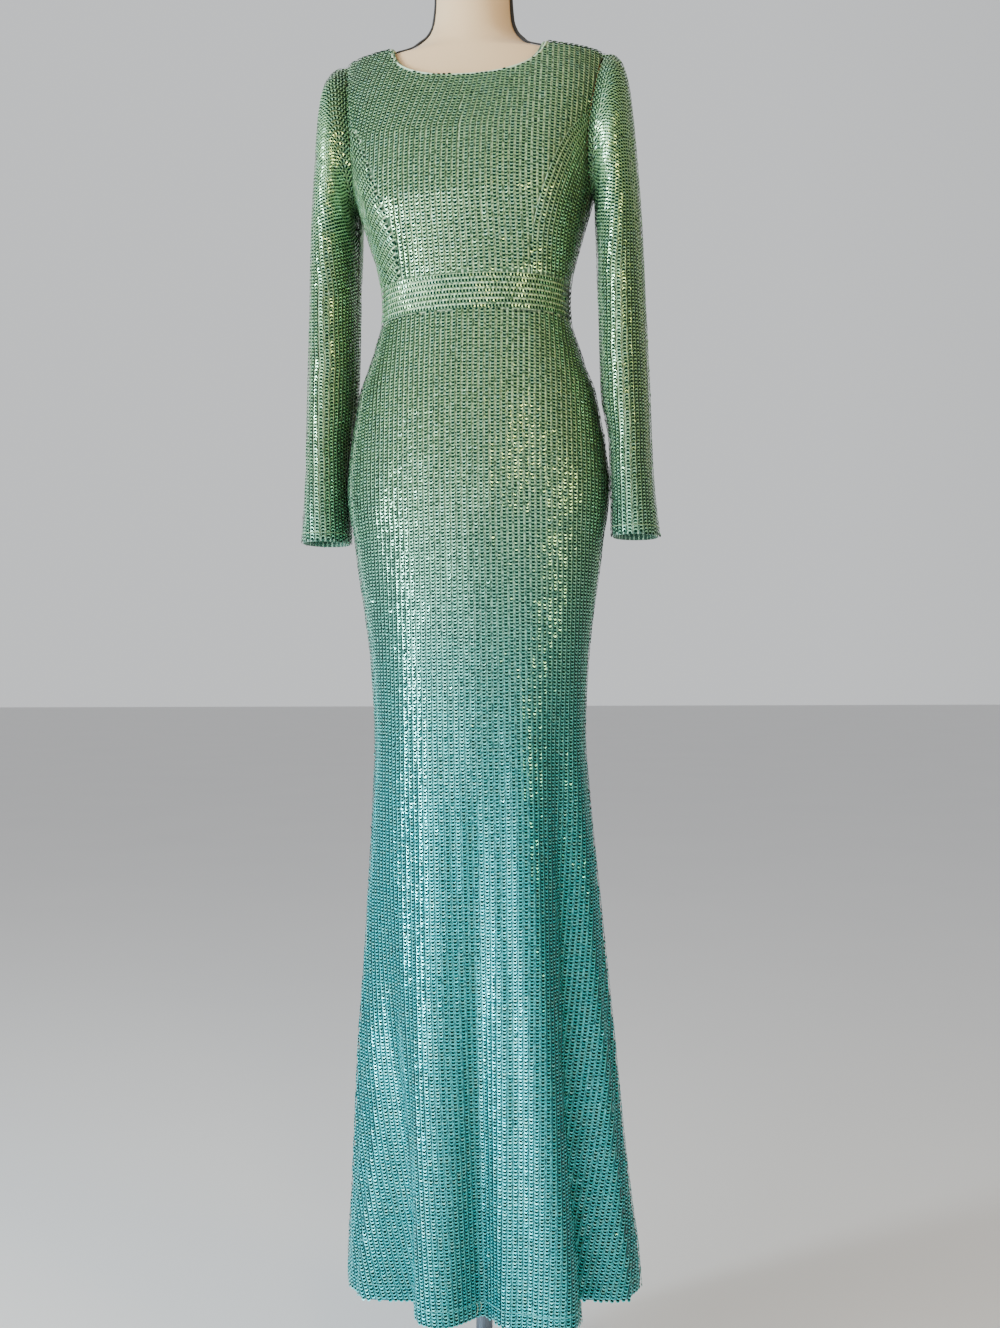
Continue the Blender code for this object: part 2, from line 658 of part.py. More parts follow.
def waistband():
    heights = np.linspace(BAND_BOTTOM_Z, BAND_TOP_Z, BAND_ROWS + 1)
    ring_panel("waistband_front", -pi / 2, pi / 2, 2 * BAND_COLUMNS, heights)
    ring_panel("waistband_back_left", pi / 2, pi, BAND_COLUMNS, heights)
    ring_panel("waistband_back_right", -pi, -pi / 2, BAND_COLUMNS, heights)


def skirt():
    upper = round(SKIRT_ROWS * SKIRT_UPPER_SHARE)
    heights = joined(
        np.linspace(HEM_Z, KNEE_Z, SKIRT_ROWS - upper + 1), np.linspace(KNEE_Z, BAND_BOTTOM_Z, upper + 1)
    )
    ring_panel("skirt_front", -pi / 2, pi / 2, SKIRT_FRONT_COLUMNS, heights)
    ring_panel("skirt_back_left", pi / 2, pi, SKIRT_BACK_COLUMNS, heights)
    ring_panel("skirt_back_right", -pi, -pi / 2, SKIRT_BACK_COLUMNS, heights)


def sleeves():
    outer, normals = sleeve_surface()
    shared, reach = armhole_mitre()
    inner = outer - CLOTH * normals
    normals[0] = shared
    inner[0] = outer[0] - CLOTH * reach[:, None] * shared
    for side, name in ((1, "sleeve_left"), (-1, "sleeve_right")):
        flip = np.array([side, 1.0, 1.0])
        wall = wall_mesh(
            name, leaned(outer * flip), normals * flip, closed=True, inner=leaned(inner * flip), gap=SLEEVE_GAP
        )
        painted(wall, "sequin_net")


# ---------------------------------------------------------------- dress form and stand
def form_point(angle, z):
    """The form's surface, square inwards from the gown's outer face, a little more at the back."""
    s = s_at_z(z)
    inset = FORM_INSET + (FORM_BACK_INSET - FORM_INSET) * (0.5 - 0.5 * np.cos(angle))
    return gown_point(angle, s) - np.asarray(inset)[..., None] * gown_normal(angle, s)


def form_heights():
    """Rows of the torso: even steps below the shoulders, then even along the shoulder's slope."""
    lower = np.linspace(FORM_BOTTOM_Z, UNDERARM_Z, FORM_LOWER_ROWS)
    s = np.linspace(S_UNDERARM, s_at_z(NECK_TOP_Z), FORM_UPPER_ROWS)
    return joined(lower, section_value("z", s))


def form_torso():
    """One solid from the hips to the neck's top, closed by flat ends."""
    angles = np.linspace(-pi, pi, FORM_COLUMNS + 1)[:-1]
    heights = form_heights()
    rows = form_point(angles[None, :], heights[:, None])
    mesh = bmesh.new()
    loops = [[mesh.verts.new(point) for point in row] for row in rows]
    for low, high in zip(loops, loops[1:]):
        for j in range(FORM_COLUMNS):
            k = (j + 1) % FORM_COLUMNS
            mesh.faces.new([low[j], low[k], high[k], high[j]])
    mesh.faces.new(loops[0][::-1])
    mesh.faces.new(loops[-1])
    return painted(finished("form_torso", mesh), "form_jersey")


def form_piping(side, name):
    """Rounded piping along the shoulder's edge and up the neck, just off the jersey."""
    rows = form_heights()
    z = np.concatenate([[PIPING[0].z], rows[rows > PIPING[0].z]])
    degrees = smooth_curve([k.z for k in PIPING], [k.degrees for k in PIPING], z)
    height = smooth_curve([k.z for k in PIPING], [k.height for k in PIPING], z)
    angle = side * np.radians(degrees)
    spine, outward = form_point(angle, z), gown_normal(angle, s_at_z(z))
    sideways = unit(np.cross(np.gradient(spine, axis=0), outward))
    across = np.array([-1.0, -0.6, 0.0, 0.6, 1.0])[None, :, None]
    lift = PIPING_GAP + height[:, None, None] * (1 - (1 - PIPING_EDGE) * across**2)
    spread = across * PIPING_WIDTH / 2 * sideways[:, None]
    outer = spine[:, None] + spread + lift * outward[:, None]
    inner = spine[:, None] + spread + PIPING_GAP * outward[:, None]
    normals = np.broadcast_to(outward[:, None], outer.shape)
    return painted(wall_mesh(name, outer, normals, inner=inner, gap=0), "piping")


def turned(name, profile, steps, finish, place=(0, 0, 0)):
    """A solid turned about Z from an outline of (radius, height) that starts and ends on the axis."""
    mesh = bmesh.new()
    verts = [mesh.verts.new((radius, 0, height)) for radius, height in profile]
    edges = [mesh.edges.new(pair) for pair in zip(verts, verts[1:])]
    bmesh.ops.spin(
        mesh, geom=verts + edges, cent=(0, 0, 0), axis=(0, 0, 1), angle=2 * pi, steps=steps, use_merge=True
    )
    bmesh.ops.remove_doubles(mesh, verts=mesh.verts[:], dist=1e-6)
    thing = finished(name, mesh)
    thing.location = place
    return painted(thing, finish)


def rounded_disc(radius, height, bevel, steps=3):
    """Outline of a disc with a rounded upper edge, from the axis below to the axis above."""
    arc = [
        (radius - bevel + bevel * cos(t), height - bevel + bevel * sin(t))
        for t in np.linspace(0, pi / 2, steps + 1)
    ]
    return [(0, 0), (radius, 0)] + arc + [(0, height)]


def stand():
    turned("stand_base", rounded_disc(BASE_RADIUS, BASE_HEIGHT, BASE_BEVEL), 40, "steel")
    flange = [
        (0, 0), (FLANGE_RADIUS, 0), (FLANGE_RADIUS, FLANGE_HEIGHT), (SOCKET_RADIUS, SOCKET_FILLET_HEIGHT)
    ]
    socket = flange + rounded_disc(SOCKET_RADIUS, SOCKET_HEIGHT, SOCKET_BEVEL)[2:]
    turned("stand_socket", socket, 28, "steel", (0, 0, BASE_HEIGHT + SEAM_GAP))
    bottom = BASE_HEIGHT + SOCKET_HEIGHT + 2 * SEAM_GAP
    length = FORM_BOTTOM_Z - SEAM_GAP - bottom
    pole = [(0, 0), (POLE_RADIUS, 0), (POLE_RADIUS, length), (0, length)]
    turned("stand_pole", pole, 24, "steel", (0, 0, bottom))


def neck_cap():
    neck = form_point(pi / 2, NECK_TOP_Z)[0]
    outline = rounded_disc(float(neck) + CAP_OVERHANG, CAP_HEIGHT, CAP_BEVEL)
    turned("form_neck_cap", outline, 32, "form_jersey", (0, 0, NECK_TOP_Z + SEAM_GAP))


# ---------------------------------------------------------------- centre-back zip
def zip_tape():
    """Tape and chain behind the centre-back seam, following the back."""
    heights = np.linspace(ZIP_BOTTOM_Z, ZIP_TOP_Z, ZIP_ROWS)
    s = s_at_z(heights)
    spine, normal = gown_point(pi, s), gown_normal(pi, s)
    face = spine - (CLOTH + ZIP_TAPE_DEPTH) * normal
    across = np.linspace(1, -1, 5)[None, :, None]
    bend = (ZIP_TAPE_WIDTH / 2) ** 2 / (2 * BACK_RADIUS) * across**2
    outer = face[:, None] + across * np.array([ZIP_TAPE_WIDTH / 2, 0, 0]) - bend * normal[:, None]
    normals = np.broadcast_to(normal[:, None], outer.shape)
    return painted(
        wall_mesh("zip_tape", outer, normals, thickness=ZIP_TAPE_THICKNESS, gap=0), "zip"
    )


SLIDER_LENGTH, SLIDER_WIDTH, SLIDER_HEIGHT = 0.0090, 0.0062, 0.0020
LUG_THICKNESS, LUG_HEIGHT, LUG_LENGTH = 0.0010, 0.0030, 0.0030
PIN_RADIUS, PIN_HEIGHT = 0.00055, 0.0018
EYE_OUTER_RADIUS, EYE_INNER_RADIUS, EYE_WIDTH = 0.00145, 0.00090, 0.0032
EYE_SEGMENTS = 10
# The tab below its eye: each step down, and the width it reaches
TAB_OUTLINE = [(0.0008, 0.0032), (0.0022, 0.0052), (0.0150, 0.0058), (0.0018, 0.0044), (0.0008, 0.0024)]
ZIP_SLIDER_Z = 1.692
TAB_LIFT = radians(6)      # the tab lies this far off the back's slope


def slider_frame():
    """Matrix of the slider: X across, Y out of the back, Z up along the back."""
    s = s_at_z(ZIP_SLIDER_Z)
    point, normal = gown_point(pi, s), gown_normal(pi, s)
    out = Vector(normal)
    across = Vector((1, 0, 0))
    up = across.cross(out)
    matrix = Matrix((across, out, up)).transposed().to_4x4()
    matrix.translation = Vector(point) + out * (SEAM_GAP + 0.0003)
    return matrix


def add_box(mesh, size, middle):
    made = bmesh.ops.create_cube(mesh, size=1.0)["verts"]
    bmesh.ops.scale(mesh, vec=Vector(size), verts=made)
    bmesh.ops.translate(mesh, vec=Vector(middle), verts=made)


def cylinder_x(name, radius, length, segments):
    """A guide cylinder along X at the origin."""
    mesh = bmesh.new()
    bmesh.ops.create_cone(
        mesh, cap_ends=True, segments=segments, radius1=radius, radius2=radius, depth=length,
        matrix=Matrix.Rotation(pi / 2, 4, "Y"),
    )
    return finished(name, mesh)


def box_object(name, size, middle, bevel=0.0):
    mesh = bmesh.new()
    add_box(mesh, size, middle)
    if bevel:
        bmesh.ops.bevel(mesh, geom=mesh.edges[:], offset=bevel, segments=2, affect="EDGES", profile=0.5)
    return finished(name, mesh)


def combined(base, others, operation):
    """Boolean of a base object with guides, which are hidden from the build."""
    for other in others:
        other.hide_render = True
        other.display_type = "WIRE"
        modifier = base.modifiers.new(other.name, "BOOLEAN")
        modifier.operation = operation
        modifier.solver = "EXACT"
        modifier.object = other
    return base


def zip_slider():
    """Slider body with two lugs and the pin that the tab hangs on."""
    frame = slider_frame()
    body = box_object(
        "zip_slider", (SLIDER_WIDTH, SLIDER_HEIGHT, SLIDER_LENGTH), (0, SLIDER_HEIGHT / 2, 0), 0.0006
    )
    lug_x = EYE_WIDTH / 2 + 0.0003 + LUG_THICKNESS / 2
    parts = [
        box_object(
            f"slider_lug_{k}", (LUG_THICKNESS, LUG_HEIGHT, LUG_LENGTH),
            (side * lug_x, SLIDER_HEIGHT - 0.0004 + LUG_HEIGHT / 2, 0),
        )
        for k, side in enumerate((-1, 1))
    ]
    pin = cylinder_x("slider_pin", PIN_RADIUS, 2 * lug_x + LUG_THICKNESS * 0.6, 12)
    pin.location = (0, SLIDER_HEIGHT + PIN_HEIGHT, 0)
    parts.append(pin)
    for part in parts:
        part.parent = body
    combined(body, parts, "UNION")
    body.matrix_world = frame
    return painted(body, "zip_metal")


def zip_pull():
    """Tab with an eye round the slider's pin: a ring whose lowest face is drawn down and widened."""
    mesh = bmesh.new()
    turns = (np.arange(EYE_SEGMENTS) + 0.5) * 2 * pi / EYE_SEGMENTS - pi / 2
    loops = [
        [mesh.verts.new((x, radius * cos(t), radius * sin(t))) for t in turns]
        for x in (-EYE_WIDTH / 2, EYE_WIDTH / 2)
        for radius in (EYE_INNER_RADIUS, EYE_OUTER_RADIUS)
    ]
    inner_right, outer_right, inner_left, outer_left = loops
    for k in range(EYE_SEGMENTS):
        n = (k + 1) % EYE_SEGMENTS
        mesh.faces.new([inner_right[k], outer_right[k], outer_right[n], inner_right[n]])
        mesh.faces.new([inner_left[n], outer_left[n], outer_left[k], inner_left[k]])
        mesh.faces.new([inner_right[n], inner_left[n], inner_left[k], inner_right[k]])
        outside = mesh.faces.new([outer_right[k], outer_left[k], outer_left[n], outer_right[n]])
        if k == EYE_SEGMENTS - 1:
            face = outside
    for drop, width in TAB_OUTLINE:
        made = bmesh.ops.extrude_face_region(mesh, geom=[face])["geom"]
        mesh.faces.remove(face)
        face = next(part for part in made if isinstance(part, bmesh.types.BMFace))
        for vert in face.verts:
            vert.co.z -= drop
            vert.co.x = width / 2 if vert.co.x > 0 else -width / 2
    eye = finished("zip_pull", mesh)
    pin = slider_frame() @ Matrix.Translation((0, SLIDER_HEIGHT + PIN_HEIGHT, 0))
    eye.matrix_world = pin @ Matrix.Rotation(TAB_LIFT, 4, "X")
    return painted(eye, "zip_metal")


def main():
    for thing in list(bpy.data.objects):
        bpy.data.objects.remove(thing)
    bodice_front_centre()
    for side, label in ((1, "left"), (-1, "right")):
        bodice_front_side(side, f"bodice_front_side_{label}")
        bodice_back(side, f"bodice_back_{label}")
        form_piping(side, f"form_piping_{label}")
    waistband()
    skirt()
    sleeves()
    form_torso()
    neck_cap()
    stand()
    zip_tape()
    zip_slider()
    zip_pull()


main()
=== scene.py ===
"""A sequinned evening gown on a limbless dress form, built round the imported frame.

Every length is in metres in the frame's own axes: +Z up, the gown's front faces -Y and the
wearer's left is at +X. Each cloth surface is a function of two parameters, worked out from ring
sections, and the sequins are laid on it in columns of one pitch, as they are sewn on the net.
"""

import logging
import math
from dataclasses import dataclass, field
from enum import Enum
from typing import Callable, Dict, List, NamedTuple, Optional, Sequence, Tuple

import bpy
import numpy as np
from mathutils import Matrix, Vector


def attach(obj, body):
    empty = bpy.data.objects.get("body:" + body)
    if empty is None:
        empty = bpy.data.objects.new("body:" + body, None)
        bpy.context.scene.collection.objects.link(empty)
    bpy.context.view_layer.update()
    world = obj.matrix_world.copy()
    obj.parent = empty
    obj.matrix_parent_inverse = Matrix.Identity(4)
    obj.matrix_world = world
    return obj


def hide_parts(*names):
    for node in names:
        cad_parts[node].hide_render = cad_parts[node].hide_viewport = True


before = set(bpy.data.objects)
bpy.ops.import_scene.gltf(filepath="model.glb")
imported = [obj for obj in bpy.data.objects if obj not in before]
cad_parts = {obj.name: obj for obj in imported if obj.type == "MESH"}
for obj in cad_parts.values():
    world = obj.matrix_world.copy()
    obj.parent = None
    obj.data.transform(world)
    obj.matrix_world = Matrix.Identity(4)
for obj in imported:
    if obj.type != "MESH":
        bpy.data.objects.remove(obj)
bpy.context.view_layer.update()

BODY = "gown_and_form"
LOG = logging.getLogger("gown")

Array = np.ndarray
Surface = Callable[[Array, Array], Array]
Colour = Tuple[float, float, float, float]
SIDES = ((1, "left"), (-1, "right"))  # the wearer's, by the sign of x


# ---------------------------------------------------------------------------- numbers on curves
def unit(vectors: Array) -> Array:
    """Returns the vectors at length one, over their last axis."""
    return vectors / np.maximum(np.linalg.norm(vectors, axis=-1, keepdims=True), 1e-12)


def signed_power(value: Array, power: Array) -> Array:
    """Returns |value| to the power, with the sign of value."""
    return np.sign(value) * np.abs(value) ** power


def smooth_step(value: Array, low: float, high: float) -> Array:
    """Returns 0 below low, 1 above high and a smooth cubic between them."""
    t = np.clip((np.asarray(value) - low) / (high - low), 0, 1)
    return t * t * (3 - 2 * t)


def smooth_curve(x: Sequence[float], y: Sequence[float], at: Array) -> Array:
    """Monotone cubic interpolation: each tangent is the weighted harmonic mean of its two slopes.

    Args:
        x: Rising positions of the known values.
        y: The known values.
        at: Where values are wanted; clamped to the range of x.

    Returns:
        The values there, in the shape of at.
    """
    x, y = np.asarray(x, float), np.asarray(y, float)
    steps = np.diff(x)
    slopes = np.diff(y) / steps
    before, after = slopes[:-1], slopes[1:]
    rising = before * after > 0
    weight_before, weight_after = 2 * steps[1:] + steps[:-1], steps[1:] + 2 * steps[:-1]
    mean = (weight_before + weight_after) / (
        weight_before / np.where(rising, before, 1.0) + weight_after / np.where(rising, after, 1.0)
    )
    tangents = np.concatenate([slopes[:1], np.where(rising, mean, 0.0), slopes[-1:]])
    at = np.clip(at, x[0], x[-1])
    i = np.clip(np.searchsorted(x, at) - 1, 0, len(x) - 2)
    step = x[i + 1] - x[i]
    t = (at - x[i]) / step
    leave, arrive = t * (1 - t) ** 2 * tangents[i], t * t * (t - 1) * tangents[i + 1]
    return y[i] + (y[i + 1] - y[i]) * t * t * (3 - 2 * t) + step * (leave + arrive)


def field_arrays(rows: Sequence[NamedTuple]) -> Dict[str, Array]:
    """Returns each field of a table of named tuples as an array."""
    return {name: np.array([getattr(row, name) for row in rows]) for name in rows[0]._fields}


def around(angle: Array, middle: Array, half_width: float) -> Array:
    """Returns 1 at the middle angle, falling as a cosine to 0 at half_width degrees from it."""
    away = np.abs((angle - middle + 180) % 360 - 180) / half_width
    return 0.5 + 0.5 * np.cos(np.pi * np.clip(away, 0, 1))


def run_length(points: Array, axis: int = 0) -> Array:
    """Returns the length run so far along a line of points, or along each line of a grid.

    Args:
        points: A line, (n, 3), or a grid, (n, m, 3).
        axis: The axis along which the lines run.

    Returns:
        The lengths, from 0.
    """
    steps = np.linalg.norm(np.diff(points, axis=axis), axis=-1)
    start = np.zeros_like(np.take(steps, [0], axis=axis))
    return np.concatenate([start, np.cumsum(steps, axis=axis)], axis=axis)


def outward(surface: Surface, angle: Array, s: Array) -> Array:
    """Outward unit normal of a surface over (angle, s), from central differences.

    Args:
        surface: The surface.
        angle: Angle from the front.
        s: Place up the side outline.

    Returns:
        Unit vectors.
    """
    turn, rise = 2e-3, 1e-3
    across = surface(angle + turn, s) - surface(angle - turn, s)
    up = surface(angle, s + rise) - surface(angle, s - rise)
    return unit(np.cross(across, up))


# ---------------------------------------------------------------------------- the gown's form
class Section(NamedTuple):
    """A ring of the gown: sizes from the axis, and the superellipse exponent of its outline."""

    z: float
    half_width: float
    front: float
    back: float
    squareness: float


SECTIONS = [
    Section(0.160, 0.1830, 0.1080, 0.158, 2.0),
    Section(0.209, 0.1810, 0.1075, 0.155, 2.0),
    Section(0.280, 0.1740, 0.1070, 0.150, 2.0),
    Section(0.370, 0.1670, 0.1060, 0.143, 2.0),
    Section(0.477, 0.1605, 0.1040, 0.134, 2.0),
    Section(0.590, 0.1525, 0.1010, 0.125, 2.0),
    Section(0.674, 0.1463, 0.0985, 0.117, 2.0),
    Section(0.739, 0.1410, 0.0965, 0.110, 2.0),
    Section(0.790, 0.1370, 0.0955, 0.106, 2.1),
    Section(0.860, 0.1333, 0.0950, 0.103, 2.1),
    Section(0.950, 0.1375, 0.0960, 0.104, 2.1),
    Section(1.020, 0.1454, 0.0980, 0.108, 2.1),
    Section(1.079, 0.1542, 0.1000, 0.113, 2.1),
    Section(1.110, 0.1578, 0.1015, 0.117, 2.1),
    Section(1.141, 0.1630, 0.1030, 0.120, 2.2),
    Section(1.171, 0.1658, 0.1035, 0.121, 2.2),
    Section(1.218, 0.1618, 0.1025, 0.119, 2.2),
    Section(1.263, 0.1545, 0.1005, 0.114, 2.2),
    Section(1.296, 0.1478, 0.0980, 0.108, 2.2),
    Section(1.324, 0.1375, 0.0950, 0.101, 2.2),
    Section(1.356, 0.1267, 0.0910, 0.092, 2.2),
    Section(1.380, 0.1200, 0.0885, 0.0860, 2.2),
    Section(1.404, 0.1185, 0.0878, 0.0835, 2.2),
    Section(1.424, 0.1196, 0.0885, 0.0840, 2.2),
    Section(1.452, 0.1250, 0.0940, 0.0870, 2.3),
    Section(1.489, 0.1350, 0.1060, 0.0915, 2.4),
    Section(1.522, 0.1450, 0.1140, 0.0960, 2.4),
    Section(1.550, 0.1530, 0.1120, 0.0995, 2.5),
    Section(1.590, 0.1600, 0.1030, 0.1020, 2.6),
    Section(1.635, 0.1655, 0.0880, 0.0990, 2.6),
    Section(1.672, 0.1680, 0.0740, 0.0880, 2.4),
    Section(1.695, 0.1680, 0.0660, 0.0750, 2.0),
    Section(1.708, 0.1665, 0.0620, 0.0660, 1.8),
    Section(1.7145, 0.1640, 0.0605, 0.0630, 1.7),
    Section(1.720, 0.1380, 0.0590, 0.0600, 1.7),
    Section(1.727, 0.0985, 0.0575, 0.0580, 1.7),
    Section(1.735, 0.0780, 0.0565, 0.0570, 1.8),
    Section(1.746, 0.0630, 0.0555, 0.0560, 1.9),
    Section(1.762, 0.0560, 0.0550, 0.0550, 2.0),
    Section(1.795, 0.0535, 0.0545, 0.0545, 2.0),
    Section(1.840, 0.0535, 0.0545, 0.0545, 2.0),
]


class Fold(NamedTuple):
    """A fold of the skirt: degrees from the centre front at hem and top, and its push at the hem."""

    angle: float
    top_angle: float
    half_width: float
    push: float
    top_z: float


FOLDS = [
    Fold(-97, -92, 15, 0.005, 0.80),
    Fold(-40, -50, 18, -0.052, 0.70),
    Fold(-16, -22, 13, 0.010, 0.98),
    Fold(2, 5, 13, -0.036, 0.86),
    Fold(31, 28, 14, 0.026, 1.04),
    Fold(58, 55, 17, -0.058, 0.98),
    Fold(95, 92, 20, 0.006, 0.70),
    Fold(131, 126, 16, -0.034, 0.74),
    Fold(156, 150, 15, 0.020, 0.84),
    Fold(180, 180, 15, -0.028, 0.80),
    Fold(-154, -150, 15, 0.018, 0.88),
    Fold(-127, -124, 16, -0.036, 0.70),
]


class Crease(NamedTuple):
    """A soft trough or ridge: middle, push outwards, half sizes in degrees and metres, and slant.

    slant is how many degrees its middle turns for each metre of height.
    """

    angle: float
    z: float
    push: float
    half_width: float
    half_height: float
    slant: float


CREASES = [
    Crease(42, 1.520, 0.0070, 26, 0.050, 0),
    Crease(-42, 1.520, 0.0070, 26, 0.050, 0),
    Crease(140, 1.600, 0.0050, 28, 0.070, 0),
    Crease(-140, 1.600, 0.0050, 28, 0.070, 0),
    Crease(-74, 0.420, 0.0045, 7, 0.200, 20),
    Crease(-62, 0.300, -0.0050, 6, 0.150, 14),
    Crease(-28, 0.330, -0.0035, 5, 0.190, -8),
    Crease(-7, 0.620, -0.0022, 5, 0.180, 6),
    Crease(14, 0.270, -0.0040, 5, 0.140, -10),
    Crease(24, 0.520, 0.0030, 5, 0.230, -6),
    Crease(44, 0.400, -0.0040, 5, 0.220, -9),
    Crease(72, 0.350, 0.0050, 6, 0.200, -10),
    Crease(84, 0.520, -0.0035, 6, 0.170, 12),
    Crease(112, 0.330, -0.0045, 6, 0.170, 10),
    Crease(144, 0.420, 0.0040, 6, 0.210, -12),
    Crease(-112, 0.360, -0.0045, 6, 0.190, -9),
    Crease(-141, 0.300, 0.0045, 6, 0.150, 14),
    Crease(-168, 0.480, -0.0035, 6, 0.210, 8),
    Crease(-100, 1.300, -0.0018, 22, 0.012, 0),
    Crease(98, 1.318, -0.0016, 20, 0.010, 0),
    Crease(-62, 1.345, -0.0014, 20, 0.008, 0),
    Crease(66, 1.352, -0.0013, 16, 0.008, 0),
    Crease(-88, 1.455, -0.0016, 24, 0.010, 0),
    Crease(86, 1.447, -0.0015, 22, 0.009, 0),
    Crease(-68, 1.590, -0.0022, 9, 0.045, 60),
    Crease(70, 1.585, -0.0020, 8, 0.040, -60),
    Crease(150, 1.345, -0.0022, 26, 0.011, 0),
    Crease(-152, 1.322, -0.0024, 28, 0.012, 0),
]


class SeamPoint(NamedTuple):
    """A point of the princess seam: height, and distance from the centre front."""

    z: float
    x: float


SEAM_SHARE = 5 / 11
ARMHOLE_SPLIT = SEAM_SHARE + 0.5 * SEAM_SHARE * (1 - SEAM_SHARE)  # where the princess seam meets it
PRINCESS_SEAM = [
    SeamPoint(1.424, 0.0815),
    SeamPoint(1.466, 0.0835),
    SeamPoint(1.500, 0.0900),
    SeamPoint(1.546, 0.1050),
    SeamPoint(1.590, 0.1240),
    SeamPoint(1.630, 0.1480),
]


SEAM_STEPS = 30  # along a princess or side seam
HOLE_STEPS = 60  # along the front half of an armhole
CURVE_STEPS = 400  # along a curve before it is laid out evenly


@dataclass
class GownForm:
    """The gown's outer face over (angle, s): angle from the front, s up the side outline."""

    hem_z: float = 0.160
    knee_z: float = 0.860
    band_bottom_z: float = 1.380
    band_top_z: float = 1.424
    underarm_z: float = 1.536
    tip_z: float = 1.7145
    neck_side_z: float = 1.727
    neck_half_width: float = 0.0985
    front_neck: Tuple[float, float] = (0.058, 2.35)  # drop, and exponent of the curve
    back_neck: Tuple[float, float] = (0.017, 2.2)
    armhole_reach: Tuple[float, float] = (25.0, 24.0)  # degrees round the front and the back
    hem_shift: float = 0.009
    side_lift: Tuple[float, float] = (0.011, 0.004)
    lean: float = 0.030
    lean_heights: Tuple[float, float, float, float] = (1.560, 1.690, 1.740, 1.800)
    top_pull: float = 2.2
    fold_growth: float = 1.3  # exponent of a fold's depth, from its top down to the hem
    columns: Dict[str, Array] = field(init=False)
    ring_s: Array = field(init=False)

    def __post_init__(self) -> None:
        """Sets up the section columns and each section's place s."""
        self.columns = field_arrays(SECTIONS)
        outline = np.stack([self.columns["half_width"], self.columns["z"]], axis=-1)
        self.ring_s = run_length(outline)

    def section(self, name: str, s: Array) -> Array:
        """Returns one column of the sections at s."""
        return smooth_curve(self.ring_s, self.columns[name], s)

    def s_at(self, z: Array) -> Array:
        """Returns the ring at a height: the side outline never turns back down."""
        fine = np.linspace(0, self.ring_s[-1], 4001)
        return np.interp(z, self.section("z", fine), fine)

    def push(self, degrees: Array, z: Array) -> Array:
        """Returns how far folds and creases push the face outwards.

        Args:
            degrees: Angle from the front.
            z: Height.

        Returns:
            Metres outwards; each is a cosine bump round the ring times its own height curve.
        """
        total = np.zeros(np.broadcast(degrees, z).shape)
        for fold in FOLDS:
            down = np.clip((fold.top_z - z) / (fold.top_z - self.hem_z), 0, 1)
            middle = fold.top_angle + (fold.angle - fold.top_angle) * down
            total = total + fold.push * down**self.fold_growth * around(degrees, middle, fold.half_width)
        for crease in CREASES:
            height = np.exp(-(((z - crease.z) / crease.half_height) ** 2))
            middle = crease.angle + crease.slant * (z - crease.z)
            total = total + crease.push * height * around(degrees, middle, crease.half_width)
        return total

    def leaned(self, points: Array) -> Array:
        """Returns the points with the shoulders' slope put in.

        Args:
            points: Points before it.

        Returns:
            Points lowered on the wearer's left and raised on the right, most across the shoulders.
        """
        share = smooth_curve(self.lean_heights, (0, 1, 1, 0), points[..., 2])
        drop = self.lean * points[..., 0] * share
        return points - drop[..., None] * np.array([0.0, 0.0, 1.0])

    def level_point(self, angle: Array, s: Array) -> Array:
        """The face before the shoulders' slope: a superellipse ring, pushed by folds and creases.

        Args:
            angle: Angle from the front, in radians.
            s: Place up the side outline.

        Returns:
            Points, in the shape of angle and s with a last axis of three.
        """
        angle, s = np.broadcast_arrays(np.asarray(angle, float), np.asarray(s, float))
        z = self.section("z", s)
        depth = np.where(np.cos(angle) < 0, self.section("back", s), self.section("front", s))
        power = 2 / self.section("squareness", s)
        x = self.section("half_width", s) * signed_power(np.sin(angle), power)
        y = -depth * signed_power(np.cos(angle), power)
        push = self.push(np.degrees(angle), z) / np.maximum(np.hypot(x, y), 1e-6)
        low = np.clip((self.knee_z - z) / (self.knee_z - self.hem_z), 0, 1)
        lift = (self.side_lift[0] + self.side_lift[1] * np.sin(angle)) * np.sin(angle) ** 2 * low**2
        return np.stack([x * (1 + push) + self.hem_shift * low, y * (1 + push), z + lift], axis=-1)

    def point(self, angle: Array, s: Array) -> Array:
        """Returns the gown's outer face."""
        return self.leaned(self.level_point(angle, s))

    def angle_at_x(self, x: Array, s: Array) -> Array:
        """Returns the front angle at which ring s is x from the centre."""
        ratio = np.clip(np.abs(x) / self.section("half_width", s), 0, 1)
        return np.sign(x) * np.arcsin(ratio ** (self.section("squareness", s) / 2))

    # ------------------------------------------------------------------ seams, as (angle, s)
    def evenly(self, curve: Array, steps: int) -> Array:
        """Returns the curve again at even distances along the cloth.

        Args:
            curve: A curve as (angle, s).
            steps: How many even steps it gets.

        Returns:
            The curve, (steps + 1, 2).
        """
        run = run_length(self.level_point(curve[:, 0], curve[:, 1]))
        stops = np.linspace(0, run[-1], steps + 1)
        return np.stack([np.interp(stops, run, curve[:, k]) for k in (0, 1)], axis=-1)

    def armhole(self, side: int, front: bool, steps: int) -> Array:
        """Half of the armhole, underarm to shoulder tip: half an ellipse over (angle, s).

        Args:
            side: 1 for the wearer's left, -1 for the right.
            front: Whether it is the front half.
            steps: How many even steps it has.

        Returns:
            The curve, (steps + 1, 2).
        """
        turn = np.linspace(0, np.pi, CURVE_STEPS)
        low, high = self.s_at(self.underarm_z), self.s_at(self.tip_z)
        reach = math.radians(self.armhole_reach[0] if front else -self.armhole_reach[1])
        angle = side * (np.pi / 2 - reach * np.sin(turn))
        return self.evenly(np.stack([angle, (low + high) / 2 - (high - low) / 2 * np.cos(turn)], -1), steps)

